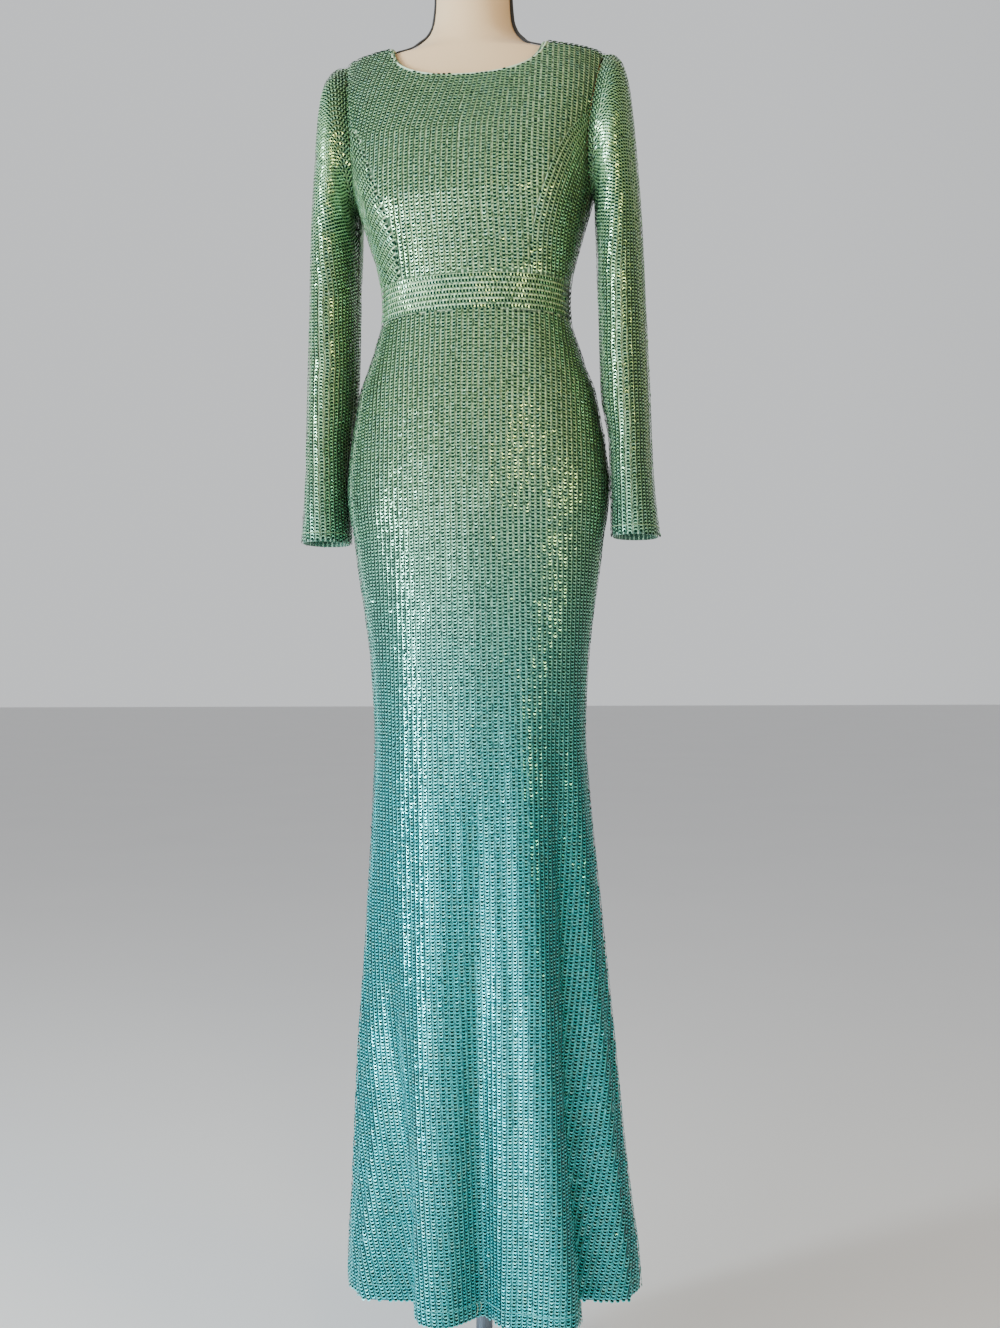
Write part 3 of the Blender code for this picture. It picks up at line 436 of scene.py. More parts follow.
    def princess_top(self, side: int) -> Array:
        """Returns where the princess seam meets the armhole, as (angle, s)."""
        steps = 1000
        return self.armhole(side, True, steps)[round(steps * ARMHOLE_SPLIT)]

    def princess_seam(self, side: int, steps: int) -> Array:
        """Front seam from the waistband up to the armhole.

        Args:
            side: 1 for the wearer's left, -1 for the right.
            steps: How many steps it has.

        Returns:
            The curve as (angle, s), (steps + 1, 2).
        """
        top = self.princess_top(side)
        share = np.linspace(0, 1, steps + 1)
        s = self.s_at(self.band_top_z) + (top[1] - self.s_at(self.band_top_z)) * share
        seam = field_arrays(PRINCESS_SEAM)
        x = side * smooth_curve(seam["z"], seam["x"], self.section("z", s))
        angle = self.angle_at_x(x, s)
        return np.stack([angle + (top[0] - angle[-1]) * share**4, s], axis=-1)

    def side_seam(self, side: int) -> Array:
        """Returns the side seam from the waistband to the underarm, as (angle, s)."""
        s = np.linspace(self.s_at(self.band_top_z), self.s_at(self.underarm_z), SEAM_STEPS + 1)
        return np.stack([np.full(len(s), side * np.pi / 2), s], axis=-1)

    def shoulder_seam(self, side: int, steps: int) -> Array:
        """Shoulder tip to the side of the neck."""
        s = np.linspace(self.s_at(self.tip_z), self.s_at(self.neck_side_z), CURVE_STEPS)
        return self.evenly(np.stack([np.full(CURVE_STEPS, side * np.pi / 2), s], axis=-1), steps)

    def neckline(self, front: bool, start: float, end: float, steps: int) -> Array:
        """A superellipse in front view, from start to end (0 the centre, +-1 the shoulder seams).

        Args:
            front: Whether it is the front neckline.
            start: Where it begins, in shares of the half neckline.
            end: Where it ends.
            steps: How many even steps it has.

        Returns:
            The curve as (angle, s), (steps + 1, 2).
        """
        t = np.linspace(start, end, CURVE_STEPS) * np.pi / 2
        drop, shape = self.front_neck if front else self.back_neck
        x = self.neck_half_width * signed_power(np.sin(t), 2 / shape)
        s = self.s_at(self.neck_side_z - drop * np.abs(np.cos(t)) ** (2 / shape))
        angle = self.angle_at_x(x, s)
        angle = angle if front else np.sign(end + start) * np.pi - angle
        return self.evenly(np.stack([angle, s], axis=-1), steps)

    def patch(self, top: Array, left: Array, right: Array) -> Array:
        """Coons patch over (angle, s) on a level lower edge: across + up - the four corners' blend.

        Args:
            top: Upper edge, left to right, (n, 2). It shapes only the rows near it.
            left: Left edge from the bottom up, (m, 2).
            right: Right edge from the bottom up, (m, 2).

        Returns:
            The grid, (m, n, 2).
        """
        bottom = np.stack([np.linspace(left[0, 0], right[0, 0], len(top)), np.full(len(top), left[0, 1])], -1)
        u = np.linspace(0, 1, len(bottom))[None, :, None]
        v = np.linspace(0, 1, len(left))[:, None, None] ** self.top_pull
        low = bottom[0] * (1 - u) + bottom[-1] * u
        high = top[0] * (1 - u) + top[-1] * u
        across = left[:, None] * (1 - u) + right[:, None] * u
        return bottom[None] * (1 - v) + top[None] * v + across - low * (1 - v) - high * v


class SleeveRing(NamedTuple):
    """A ring of the sleeve: its outer and its inner point, and its half depth."""

    outer_x: float
    outer_z: float
    inner_x: float
    inner_z: float
    half_depth: float


SLEEVE_RINGS = [
    SleeveRing(0.1640, 1.7145, 0.1493, 1.5360, 0.050),
    SleeveRing(0.1745, 1.7130, 0.1515, 1.5300, 0.057),
    SleeveRing(0.1865, 1.7020, 0.1526, 1.5240, 0.062),
    SleeveRing(0.1945, 1.6750, 0.1531, 1.5170, 0.065),
    SleeveRing(0.1990, 1.6370, 0.1534, 1.5080, 0.0665),
    SleeveRing(0.2040, 1.5750, 0.1537, 1.4900, 0.0665),
    SleeveRing(0.2088, 1.5000, 0.1548, 1.4550, 0.065),
    SleeveRing(0.2137, 1.3800, 0.1566, 1.3710, 0.060),
    SleeveRing(0.2175, 1.2860, 0.1590, 1.2850, 0.058),
    SleeveRing(0.2192, 1.2250, 0.1680, 1.2250, 0.056),
    SleeveRing(0.2225, 1.1650, 0.1692, 1.1650, 0.053),
    SleeveRing(0.2285, 1.1080, 0.1694, 1.1080, 0.048),
]


class SleeveCrease(NamedTuple):
    """A soft trough across the sleeve: turn round it in degrees, ring, push, half sizes, slant."""

    turn: float
    ring: float
    push: float
    half_width: float
    half_rings: float
    slant: float


SLEEVE_CREASES = [
    SleeveCrease(60, 5.6, -0.0026, 60, 0.22, 0.004),
    SleeveCrease(75, 6.6, -0.0030, 70, 0.16, -0.003),
    SleeveCrease(50, 7.1, -0.0026, 62, 0.13, 0.003),
    SleeveCrease(95, 7.5, -0.0018, 50, 0.12, -0.004),
    SleeveCrease(300, 6.2, -0.0028, 66, 0.18, 0.003),
    SleeveCrease(285, 6.9, -0.0026, 60, 0.14, -0.003),
    SleeveCrease(310, 7.6, -0.0022, 54, 0.14, 0.004),
    SleeveCrease(120, 4.6, -0.0016, 46, 0.24, 0.003),
    SleeveCrease(240, 4.8, -0.0016, 46, 0.24, -0.003),
    SleeveCrease(150, 9.4, -0.0014, 60, 0.20, 0.004),
    SleeveCrease(40, 10.2, -0.0016, 60, 0.20, -0.003),
]


@dataclass
class SleeveForm:
    """A sleeve's outer face over (turn, ring): turn 0 at the underarm, pi along the outer side."""

    gown: GownForm
    side: int
    cap_rings: float = 4.0

    def ellipse(self, turn: Array, ring: Array) -> Array:
        """Elliptical ring between its inner and outer points.

        Args:
            turn: Angle round the sleeve.
            ring: Place along SLEEVE_RINGS.

        Returns:
            Points on the wearer's left, before the shoulders' slope.
        """
        rows = np.arange(len(SLEEVE_RINGS))
        value = {name: smooth_curve(rows, row, ring) for name, row in field_arrays(SLEEVE_RINGS).items()}
        outer_x, inner_x = value["outer_x"], value["inner_x"]
        outer_z, inner_z = value["outer_z"], value["inner_z"]
        x_middle, x_half = (outer_x + inner_x) / 2, (outer_x - inner_x) / 2
        z_middle, z_half = (outer_z + inner_z) / 2, (outer_z - inner_z) / 2
        degrees = np.degrees(turn)
        push = np.zeros(np.broadcast(turn, ring).shape)
        for crease in SLEEVE_CREASES:
            middle = crease.ring + crease.slant * (degrees - crease.turn)
            push = push + (
                crease.push
                * np.exp(-(((ring - middle) / crease.half_rings) ** 2))
                * around(degrees, crease.turn, crease.half_width)
            )
        grow = 1 + push / value["half_depth"]
        return np.stack(
            [
                x_middle - np.cos(turn) * x_half * grow,
                -np.sin(turn) * value["half_depth"] * grow,
                z_middle - np.cos(turn) * z_half * grow,
            ],
            axis=-1,
        )

    def seam(self, turn: Array) -> Array:
        """The armhole at each turn, by its share of the way from underarm to shoulder tip.

        Args:
            turn: Angle round the sleeve; the front half comes first.

        Returns:
            Points of the armhole.
        """
        turn = np.mod(turn, 2 * np.pi)
        share = np.where(turn <= np.pi, turn, 2 * np.pi - turn) / np.pi * CURVE_STEPS
        halves = [self.gown.armhole(1, front, CURVE_STEPS) for front in (True, False)]
        points = [self.gown.level_point(half[:, 0], half[:, 1]) for half in halves]
        stops = np.arange(CURVE_STEPS + 1)
        lines = [np.stack([np.interp(share, stops, p[:, k]) for k in range(3)], -1) for p in points]
        return np.where((turn <= np.pi)[..., None], lines[0], lines[1])

    def point(self, turn: Array, ring: Array) -> Array:
        """The sleeve's face: its rings, drawn to the armhole over the first few.

        Args:
            turn: Angle round the sleeve.
            ring: Place along SLEEVE_RINGS.

        Returns:
            Points in the frame's axes.
        """
        turn, ring = np.broadcast_arrays(np.asarray(turn, float), np.asarray(ring, float))
        keep = np.clip(1 - ring / self.cap_rings, 0, 1)[..., None] ** 2
        level = self.ellipse(turn, ring) + keep * (self.seam(turn) - self.ellipse(turn, np.zeros_like(ring)))
        return self.gown.leaned(level * np.array([self.side, 1.0, 1.0]))


# ---------------------------------------------------------------------------- meshes
def mesh_object(name: str, points: Array, faces: Array, smooth: bool = True) -> bpy.types.Object:
    """Makes a mesh object from whole arrays.

    Args:
        name: The object's name.
        points: Vertices, (n, 3).
        faces: Vertex numbers, (m, 3) or (m, 4).
        smooth: Whether its faces are shaded smooth.

    Returns:
        The object, linked to the scene.
    """
    faces = np.asarray(faces)
    sides = faces.shape[1]
    mesh = bpy.data.meshes.new(name)
    mesh.vertices.add(len(points))
    mesh.vertices.foreach_set("co", np.ascontiguousarray(points, np.float32).ravel())
    mesh.loops.add(faces.size)
    mesh.loops.foreach_set("vertex_index", faces.ravel().astype(np.int32))
    mesh.polygons.add(len(faces))
    mesh.polygons.foreach_set("loop_start", np.arange(0, faces.size, sides, dtype=np.int32))
    mesh.polygons.foreach_set("use_smooth", np.full(len(faces), smooth))
    mesh.update(calc_edges=True)
    mesh.validate()
    thing = bpy.data.objects.new(name, mesh)
    bpy.context.scene.collection.objects.link(thing)
    return thing


def grid_faces(rows: int, columns: int, closed: bool = False, turned: bool = False) -> Array:
    """Quads of a grid of vertices, (n, 4); closed joins the last column to the first.

    Args:
        rows: Rows of vertices.
        columns: Columns of vertices.
        closed: Whether the last column joins the first.
        turned: Whether the faces look the other way.

    Returns:
        Vertex numbers, (n, 4).
    """
    i, j = np.meshgrid(np.arange(rows - 1), np.arange(columns if closed else columns - 1), indexing="ij")
    k = (j + 1) % columns
    quads = np.stack([i * columns + j, i * columns + k, (i + 1) * columns + k, (i + 1) * columns + j], -1)
    quads = quads.reshape(-1, 4)
    return quads[:, ::-1] if turned else quads


def capped_tube_faces(rows: int, sides: int) -> Array:
    """Triangles of a tube of rings, each end closed by a fan over its ring, (n, 3).

    Args:
        rows: Number of rings.
        sides: Vertices of a ring.

    Returns:
        Vertex numbers, (n, 3).
    """
    quads = grid_faces(rows, sides, closed=True)
    fan = np.stack([np.zeros(sides - 2, int), np.arange(1, sides - 1), np.arange(2, sides)], axis=-1)
    ends = [fan[:, ::-1], fan + (rows - 1) * sides]
    return np.concatenate([quads[:, [0, 1, 2]], quads[:, [0, 2, 3]], *ends])


def tube_object(
    name: str, line: Array, radius: float, sides: int = 8, closed: bool = False
) -> bpy.types.Object:
    """A round tube along a line of points, its ends drawn to a point unless it is closed.

    Args:
        name: The object's name.
        line: The points of its middle, (n, 3).
        radius: Half its thickness.
        sides: How many flat sides it has.
        closed: Whether the last point joins the first.

    Returns:
        The object.
    """
    along = unit(np.gradient(line, axis=0))
    if closed:
        along = unit(np.roll(line, -1, axis=0) - np.roll(line, 1, axis=0))
    side = unit(np.cross(along, np.array([0.31, 0.23, 0.92])))
    over = np.cross(side, along)
    turn = np.linspace(0, 2 * np.pi, sides, endpoint=False)
    size = np.full(len(line), radius)
    if not closed:
        size[[0, -1]] *= 0.05
    ring = np.cos(turn)[None, :, None] * side[:, None] + np.sin(turn)[None, :, None] * over[:, None]
    points = line[:, None] + size[:, None, None] * ring
    rows = np.concatenate([points, points[:1]]) if closed else points
    faces = grid_faces(len(rows), sides, closed=True)
    faces = faces % (len(line) * sides)
    return mesh_object(name, points.reshape(-1, 3), faces)


def dress_piece(
    piece: bpy.types.Object, material: bpy.types.Material, slot: str, *nodes: str
) -> bpy.types.Object:
    """Gives a piece its material, sets it riding, and hides the solids it stands for.

    Args:
        piece: The mesh object.
        material: Its only material.
        slot: Not used.
        nodes: The solids that it is seen in place of.

    Returns:
        The same piece.
    """
    piece.data.materials.append(material)
    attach(piece, BODY)
    if nodes:
        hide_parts(*nodes)
    LOG.info("%s: %d faces", piece.name, len(piece.data.polygons))
    return piece


# ---------------------------------------------------------------------------- cloth and sequins
@dataclass
class ArcTable:
    """A surface sampled on a grid, with the distance along each row from a reference column."""

    surface: Surface
    u: Array
    v: Array
    u_zero: float
    points: Array = field(init=False)
    arc: Array = field(init=False)
    sign: float = field(init=False)
    fineness: float = 900.0  # how many of a normal's steps make the whole range

    def __post_init__(self) -> None:
        """Samples the surface and finds which way is outwards."""
        self.points = self.surface(self.u[None, :], self.v[:, None])
        run = run_length(self.points, axis=1)
        zero = np.array([np.interp(self.u_zero, self.u, row) for row in run])
        self.arc = run - zero[:, None]
        across, up = np.gradient(self.points, axis=1), np.gradient(self.points, axis=0)
        middle = np.array([0.0, 0.0, 1.0]) * self.points
        core = np.where(np.ptp(self.u) > 6, self.points.mean(axis=1, keepdims=True), middle)
        self.sign = float(np.sign(np.sum(np.cross(across, up) * (self.points - core))))

    def normal(self, u: Array, v: Array) -> Array:
        """Outward unit normal, from central differences of the surface.

        Args:
            u: First parameter.
            v: Second parameter.

        Returns:
            Unit vectors.
        """
        turn, rise = np.ptp(self.u) / self.fineness, np.ptp(self.v) / self.fineness
        across = self.surface(u + turn, v) - self.surface(u - turn, v)
        up = self.surface(u, v + rise) - self.surface(u, v - rise)
        return unit(np.cross(across, up)) * self.sign

    def lookup(self, values: Array, u: Array, v: Array) -> Array:
        """Bilinear value of a table given on the grid.

        Args:
            values: One value for each grid point.
            u: Where values are wanted.
            v: Where values are wanted.

        Returns:
            The values there.
        """
        inside = 1.001  # keeps the last cell's far edge in that cell
        i = np.clip(np.interp(v, self.v, np.arange(len(self.v))), 0, len(self.v) - inside)
        j = np.clip(np.interp(u, self.u, np.arange(len(self.u))), 0, len(self.u) - inside)
        i0, j0 = i.astype(int), j.astype(int)
        fi, fj = i - i0, j - j0
        low = values[i0, j0] * (1 - fj) + values[i0, j0 + 1] * fj
        high = values[i0 + 1, j0] * (1 - fj) + values[i0 + 1, j0 + 1] * fj
        return low * (1 - fi) + high * fi


@dataclass(frozen=True)
class SequinSpec:
    """Sizes of a sequin and of the net's columns."""

    pitch: float = 0.0068
    step: float = 0.0041
    radius: float = 0.00250
    cup: float = 0.00016
    proud: float = 0.0009
    scale_tilt: float = 5.0
    own_tilt: float = 3.0
    column_tilt: float = 3.0  # shared by neighbours along a column, over tilt_run
    tilt_run: float = 0.050
    loose_share: float = 0.02
    loose_tilt: float = 4.0  # how many times the usual own_tilt
    step_error: float = 0.03  # spread of a sequin's place along its column, in steps
    spin: float = 0.8  # radians within which its facets are turned
    drift: float = 0.12  # how far a column slips against the last one, in steps
    sides: int = 8


@dataclass
class SequinField:
    """The sequins of one panel: places, frames, and the mesh of little faceted cups."""

    table: ArcTable
    spec: SequinSpec
    seed: int
    places: List[Array] = field(default_factory=list)

    def columns(self, coordinate: Array, keep: Callable[[Array, Array], Array]) -> None:
        """Lays columns where the coordinate table is a whole number of pitches.

        Args:
            coordinate: Distance across the columns at each grid point; it rises along each row.
            keep: Says for (u, v) whether a sequin there is on the panel.
        """
        rng = np.random.default_rng(self.seed)
        pitch, step = self.spec.pitch, self.spec.step
        first, last = math.ceil(coordinate.min() / pitch), math.floor(coordinate.max() / pitch)
        targets = (np.arange(first, last) + 0.5) * pitch
        lines = np.array([np.interp(targets, row, self.table.u) for row in coordinate])
        inside = (targets > coordinate[:, :1]) & (targets < coordinate[:, -1:])
        points = self.table.surface(lines, self.table.v[:, None])
        steps = np.where(inside[1:] & inside[:-1], np.linalg.norm(np.diff(points, axis=0), axis=-1), 0.0)
        runs = np.concatenate([np.zeros((1, len(targets))), np.cumsum(steps, axis=0)])
        rows = np.arange(len(self.table.v))
        slips = np.cumsum(rng.normal(0, self.spec.drift, len(targets))) % 1.0
        for j, run in enumerate(runs.T):
            stops = np.arange(slips[j] * step, run[-1], step)
            stops = stops + rng.normal(0, self.spec.step_error * step, len(stops))
            roll = self.shared_roll(rng, stops)
            row = np.interp(stops, run + rows * 1e-9, rows)
            u, v = np.interp(row, rows, lines[:, j]), np.interp(row, rows, self.table.v)
            ahead = np.interp(row + 0.5, rows, lines[:, j]), np.interp(row + 0.5, rows, self.table.v)
            behind = np.interp(row - 0.5, rows, lines[:, j]), np.interp(row - 0.5, rows, self.table.v)
            on = keep(u, v) & (inside[np.round(row).astype(int), j])
            self.places.append(np.stack([u, v, *ahead, *behind, roll], axis=-1)[on])

    def shared_roll(self, rng: np.random.Generator, stops: Array) -> Array:
        """Roll in degrees along a column, wandering between values tilt_run apart."""
        knots = np.arange(0, (stops[-1] if len(stops) else 0) + 2 * self.spec.tilt_run, self.spec.tilt_run)
        return np.interp(stops, knots, rng.normal(0, self.spec.column_tilt, len(knots)))

    def rings(self, heights: Array, keep: Callable[[Array, Array], Array]) -> None:
        """Lays rows along u at each of the heights v.

        Args:
            heights: The value of v of each row.
            keep: Says for (u, v) whether a sequin there is on the panel.
        """
        rng = np.random.default_rng(self.seed)
        for v in heights:
            line = self.table.surface(self.table.u, np.full_like(self.table.u, v))
            run = run_length(line)
            stops = np.arange(rng.random() * self.spec.step, run[-1], self.spec.step)
            u = np.interp(stops, run, self.table.u)
            ahead, behind = [np.interp(stops + gap, run, self.table.u) for gap in (0.001, -0.001)]
            level = np.full_like(u, v)
            on = keep(u, level)
            roll = self.shared_roll(rng, stops)
            self.places.append(np.stack([u, level, ahead, level, behind, level, roll], axis=-1)[on])

    def build(self, name: str) -> bpy.types.Object:
        """Makes the mesh: each sequin is a shallow faceted cup, tilted so that it overlaps the next.

        Args:
            name: The object's name.

        Returns:
            The object, with its "tone" attribute and its "disc" map.
        """
        rng = np.random.default_rng(self.seed + 1)
        spec, surface = self.spec, self.table.surface
        u, v, u_ahead, v_ahead, u_behind, v_behind, shared = np.concatenate(self.places).T
        normal = self.table.normal(u, v)
        along = unit(surface(u_ahead, v_ahead) - surface(u_behind, v_behind))
        side = unit(np.cross(along, normal))
        count = len(u)
        loose = np.where(rng.random(count) < spec.loose_share, spec.loose_tilt, 1.0)
        tilt = np.radians(spec.scale_tilt + rng.normal(0, spec.own_tilt, count) * loose)
        roll = np.radians(shared + rng.normal(0, spec.own_tilt, count) * loose)
        up = along * np.cos(tilt)[:, None] - normal * np.sin(tilt)[:, None]
        out = normal * np.cos(tilt)[:, None] + along * np.sin(tilt)[:, None]
        across = side * np.cos(roll)[:, None] + out * np.sin(roll)[:, None]
        out = unit(np.cross(across, up))
        out = out * np.sign(np.sum(out * normal, axis=-1, keepdims=True))
        turn = np.linspace(0, 2 * np.pi, spec.sides, endpoint=False) + rng.random(count)[:, None] * spec.spin
        centre = surface(u, v) + normal * spec.proud
        round_it = np.cos(turn)[..., None] * across[:, None] + np.sin(turn)[..., None] * up[:, None]
        rim = centre[:, None] + spec.radius * round_it + spec.cup * out[:, None]
        points = np.concatenate([centre[:, None], rim], axis=1)
        k = np.arange(spec.sides)
        fan = np.stack([np.zeros(spec.sides, int), k + 1, (k + 1) % spec.sides + 1], axis=-1)
        handed = np.sum(np.cross(across, up) * out, axis=-1) > 0
        fans = np.where(handed[:, None, None], fan[None], fan[None, :, ::-1])
        faces = fans + (np.arange(count) * (spec.sides + 1))[:, None, None]
        thing = mesh_object(name, points.reshape(-1, 3), faces.reshape(-1, 3), smooth=False)
        tone = thing.data.attributes.new("tone", "FLOAT", "POINT")
        tone.data.foreach_set("value", np.repeat(rng.random(count), spec.sides + 1).astype(np.float32))
        rim_place = 0.5 + 0.5 * np.stack([np.cos(turn), np.sin(turn)], axis=-1)
        place = np.concatenate([np.full((count, 1, 2), 0.5), rim_place], axis=1).reshape(-1, 2)
        disc = thing.data.uv_layers.new(name="disc")
        disc.data.foreach_set("uv", place[faces.reshape(-1)].astype(np.float32).ravel())
        return thing


class Cut(Enum):
    """How a panel's columns of sequins run."""

    STRAIGHT = "parallel to the centre line"
    CHEST = "straight, leaning at the top of one side"
    ALONG_SEAM = "parallel to the princess seam"
    SLANTED = "across, rising towards the wearer's left"
    ROUND = "in level rows"


@dataclass
class ClothPanel:
    """One panel of net: a thin shell on its solid's form, with its sequins as a second piece."""

    node: str
    table: ArcTable
    grid: Array
    material: bpy.types.Material
    sequin_material: bpy.types.Material
    cut: Cut = Cut.STRAIGHT
    closed: bool = False
    seam_shift: Optional[Callable[[Array], Array]] = None
    row_heights: Sequence[float] = ()
    edge_margin: float = 0.0021
    spec: SequinSpec = SequinSpec()
    seed: int = 1
    held: str = "stretched"
    rests_on: Tuple[str, ...] = ("form_torso",)
    back_of_face: float = 0.0009
    thickness: float = 0.0007
    valley: float = 0.0006
    valley_width: float = 0.0030
    chest_lean: float = 0.30  # sideways for each metre up, at the wearer's right of the chest
    lean_from_z: float = 1.600
    lean_fades: Tuple[float, float] = (-0.02, 0.09)
    slant_degrees: float = 26.0

    def coordinate(self) -> Array:
        """Distance across the columns at each point of the table.

        Returns:
            The distances, in the shape of the table.
        """
        arc, v = self.table.arc, self.table.v[:, None]
        if self.cut is Cut.CHEST:
            height = self.table.points[..., 2]
            lean = self.chest_lean * np.clip(height - self.lean_from_z, 0, None)
            return arc - lean * (1 - smooth_step(arc, *self.lean_fades))
        if self.cut is Cut.ALONG_SEAM:
            return arc - self.seam_shift(self.table.v)[:, None]
        if self.cut is Cut.SLANTED:
            angle = math.radians(self.slant_degrees)
            return arc * math.sin(angle) - (v - v.min()) * math.cos(angle)
        return arc

    def outline(self) -> Array:
        """The panel's edge in (u, v), once round.

        Returns:
            The edge, (n, 2).
        """
        g = self.grid
        if self.closed:
            return np.concatenate([g[0], g[-1]])
        return np.concatenate([g[0], g[1:, -1], g[-1, -2::-1], g[-2:0:-1, 0]])

    def keeper(self) -> Callable[[Array, Array], Array]:
        """Makes the test for a sequin's place: inside the outline and clear of the seams.

        Returns:
            The test, as a function of (u, v).
        """
        edge = self.outline()
        edge_points = self.table.surface(edge[:, 0], edge[:, 1])
        closed = self.closed

        def keep(u: Array, v: Array) -> Array:
            """Even-odd test against the outline, and a distance from the edge.

            Args:
                u: First parameter of each sequin.
                v: Second parameter.

            Returns:
                Whether each is kept.
            """
            if len(u) == 0:
                return np.zeros(0, bool)
            inside = np.ones(len(u), bool)
            if not closed:
                a, b = edge[None], np.roll(edge, -1, axis=0)[None]
                spans = (a[..., 1] > v[:, None]) != (b[..., 1] > v[:, None])
                rise = np.where(b[..., 1] == a[..., 1], 1.0, b[..., 1] - a[..., 1])
                cross = a[..., 0] + (v[:, None] - a[..., 1]) * (b[..., 0] - a[..., 0]) / rise
                inside = (np.sum(spans & (u[:, None] < cross), axis=1) % 2).astype(bool)
            here = self.table.surface(u, v)
            gap = np.linalg.norm(here[:, None] - edge_points[None], axis=-1).min(axis=1)
            return inside & (gap > self.edge_margin)

        return keep

    def cloth(self) -> bpy.types.Object:
        """The net: the panel's grid a little behind the face, dipping to a valley at its seams.

        Returns:
            The piece, with its "columns" map.
        """
        u, v = self.grid[..., 0], self.grid[..., 1]
        face, normal = self.table.surface(u, v), self.table.normal(u, v)
        far = [run_length(face, axis=1), run_length(face, axis=0)]
        if not self.closed:
            to_side = np.minimum(far[0], far[0][:, -1:] - far[0])
            far_edge = np.minimum(to_side, np.minimum(far[1], far[1][-1:] - far[1]))
        else:
            far_edge = np.minimum(far[1], far[1][-1:] - far[1])
        dip = self.back_of_face + self.valley * np.exp(-((far_edge / self.valley_width) ** 2))
        face = face - normal * dip[..., None]
        rows, count = face.shape[:2]
        faces = grid_faces(rows, count, turned=self.table.sign < 0)
        piece = mesh_object(f"{self.node}_net", face.reshape(-1, 3), faces)
        across = self.table.lookup(self.coordinate(), u, v) / self.spec.pitch
        along = far[1] / self.spec.step
        if self.cut is Cut.ROUND:
            across, along = (v - self.row_heights[0]) / self.spec.pitch + 0.5, far[0] / self.spec.step
        uv = np.stack([across, along], axis=-1).reshape(-1, 2)
        layer = piece.data.uv_layers.new(name="columns")
        loops = np.empty(len(piece.data.loops), np.int32)
        piece.data.loops.foreach_get("vertex_index", loops)
        layer.data.foreach_set("uv", uv[loops].astype(np.float32).ravel())
        shell = piece.modifiers.new("thickness", "SOLIDIFY")
        shell.thickness, shell.offset = self.thickness, -1.0
        return piece

    def build(self) -> None:
        piece = dress_piece(self.cloth(), self.material, "sequin_net", self.node)
        lay = SequinField(self.table, self.spec, self.seed)
        if self.cut is Cut.ROUND:
            lay.rings(np.asarray(self.row_heights), self.keeper())
        else:
            lay.columns(self.coordinate(), self.keeper())
        sequins = dress_piece(lay.build(f"{self.node}_sequins"), self.sequin_material, "sequin_net")
        face = self.table.surface(self.grid[..., 0], self.grid[..., 1])


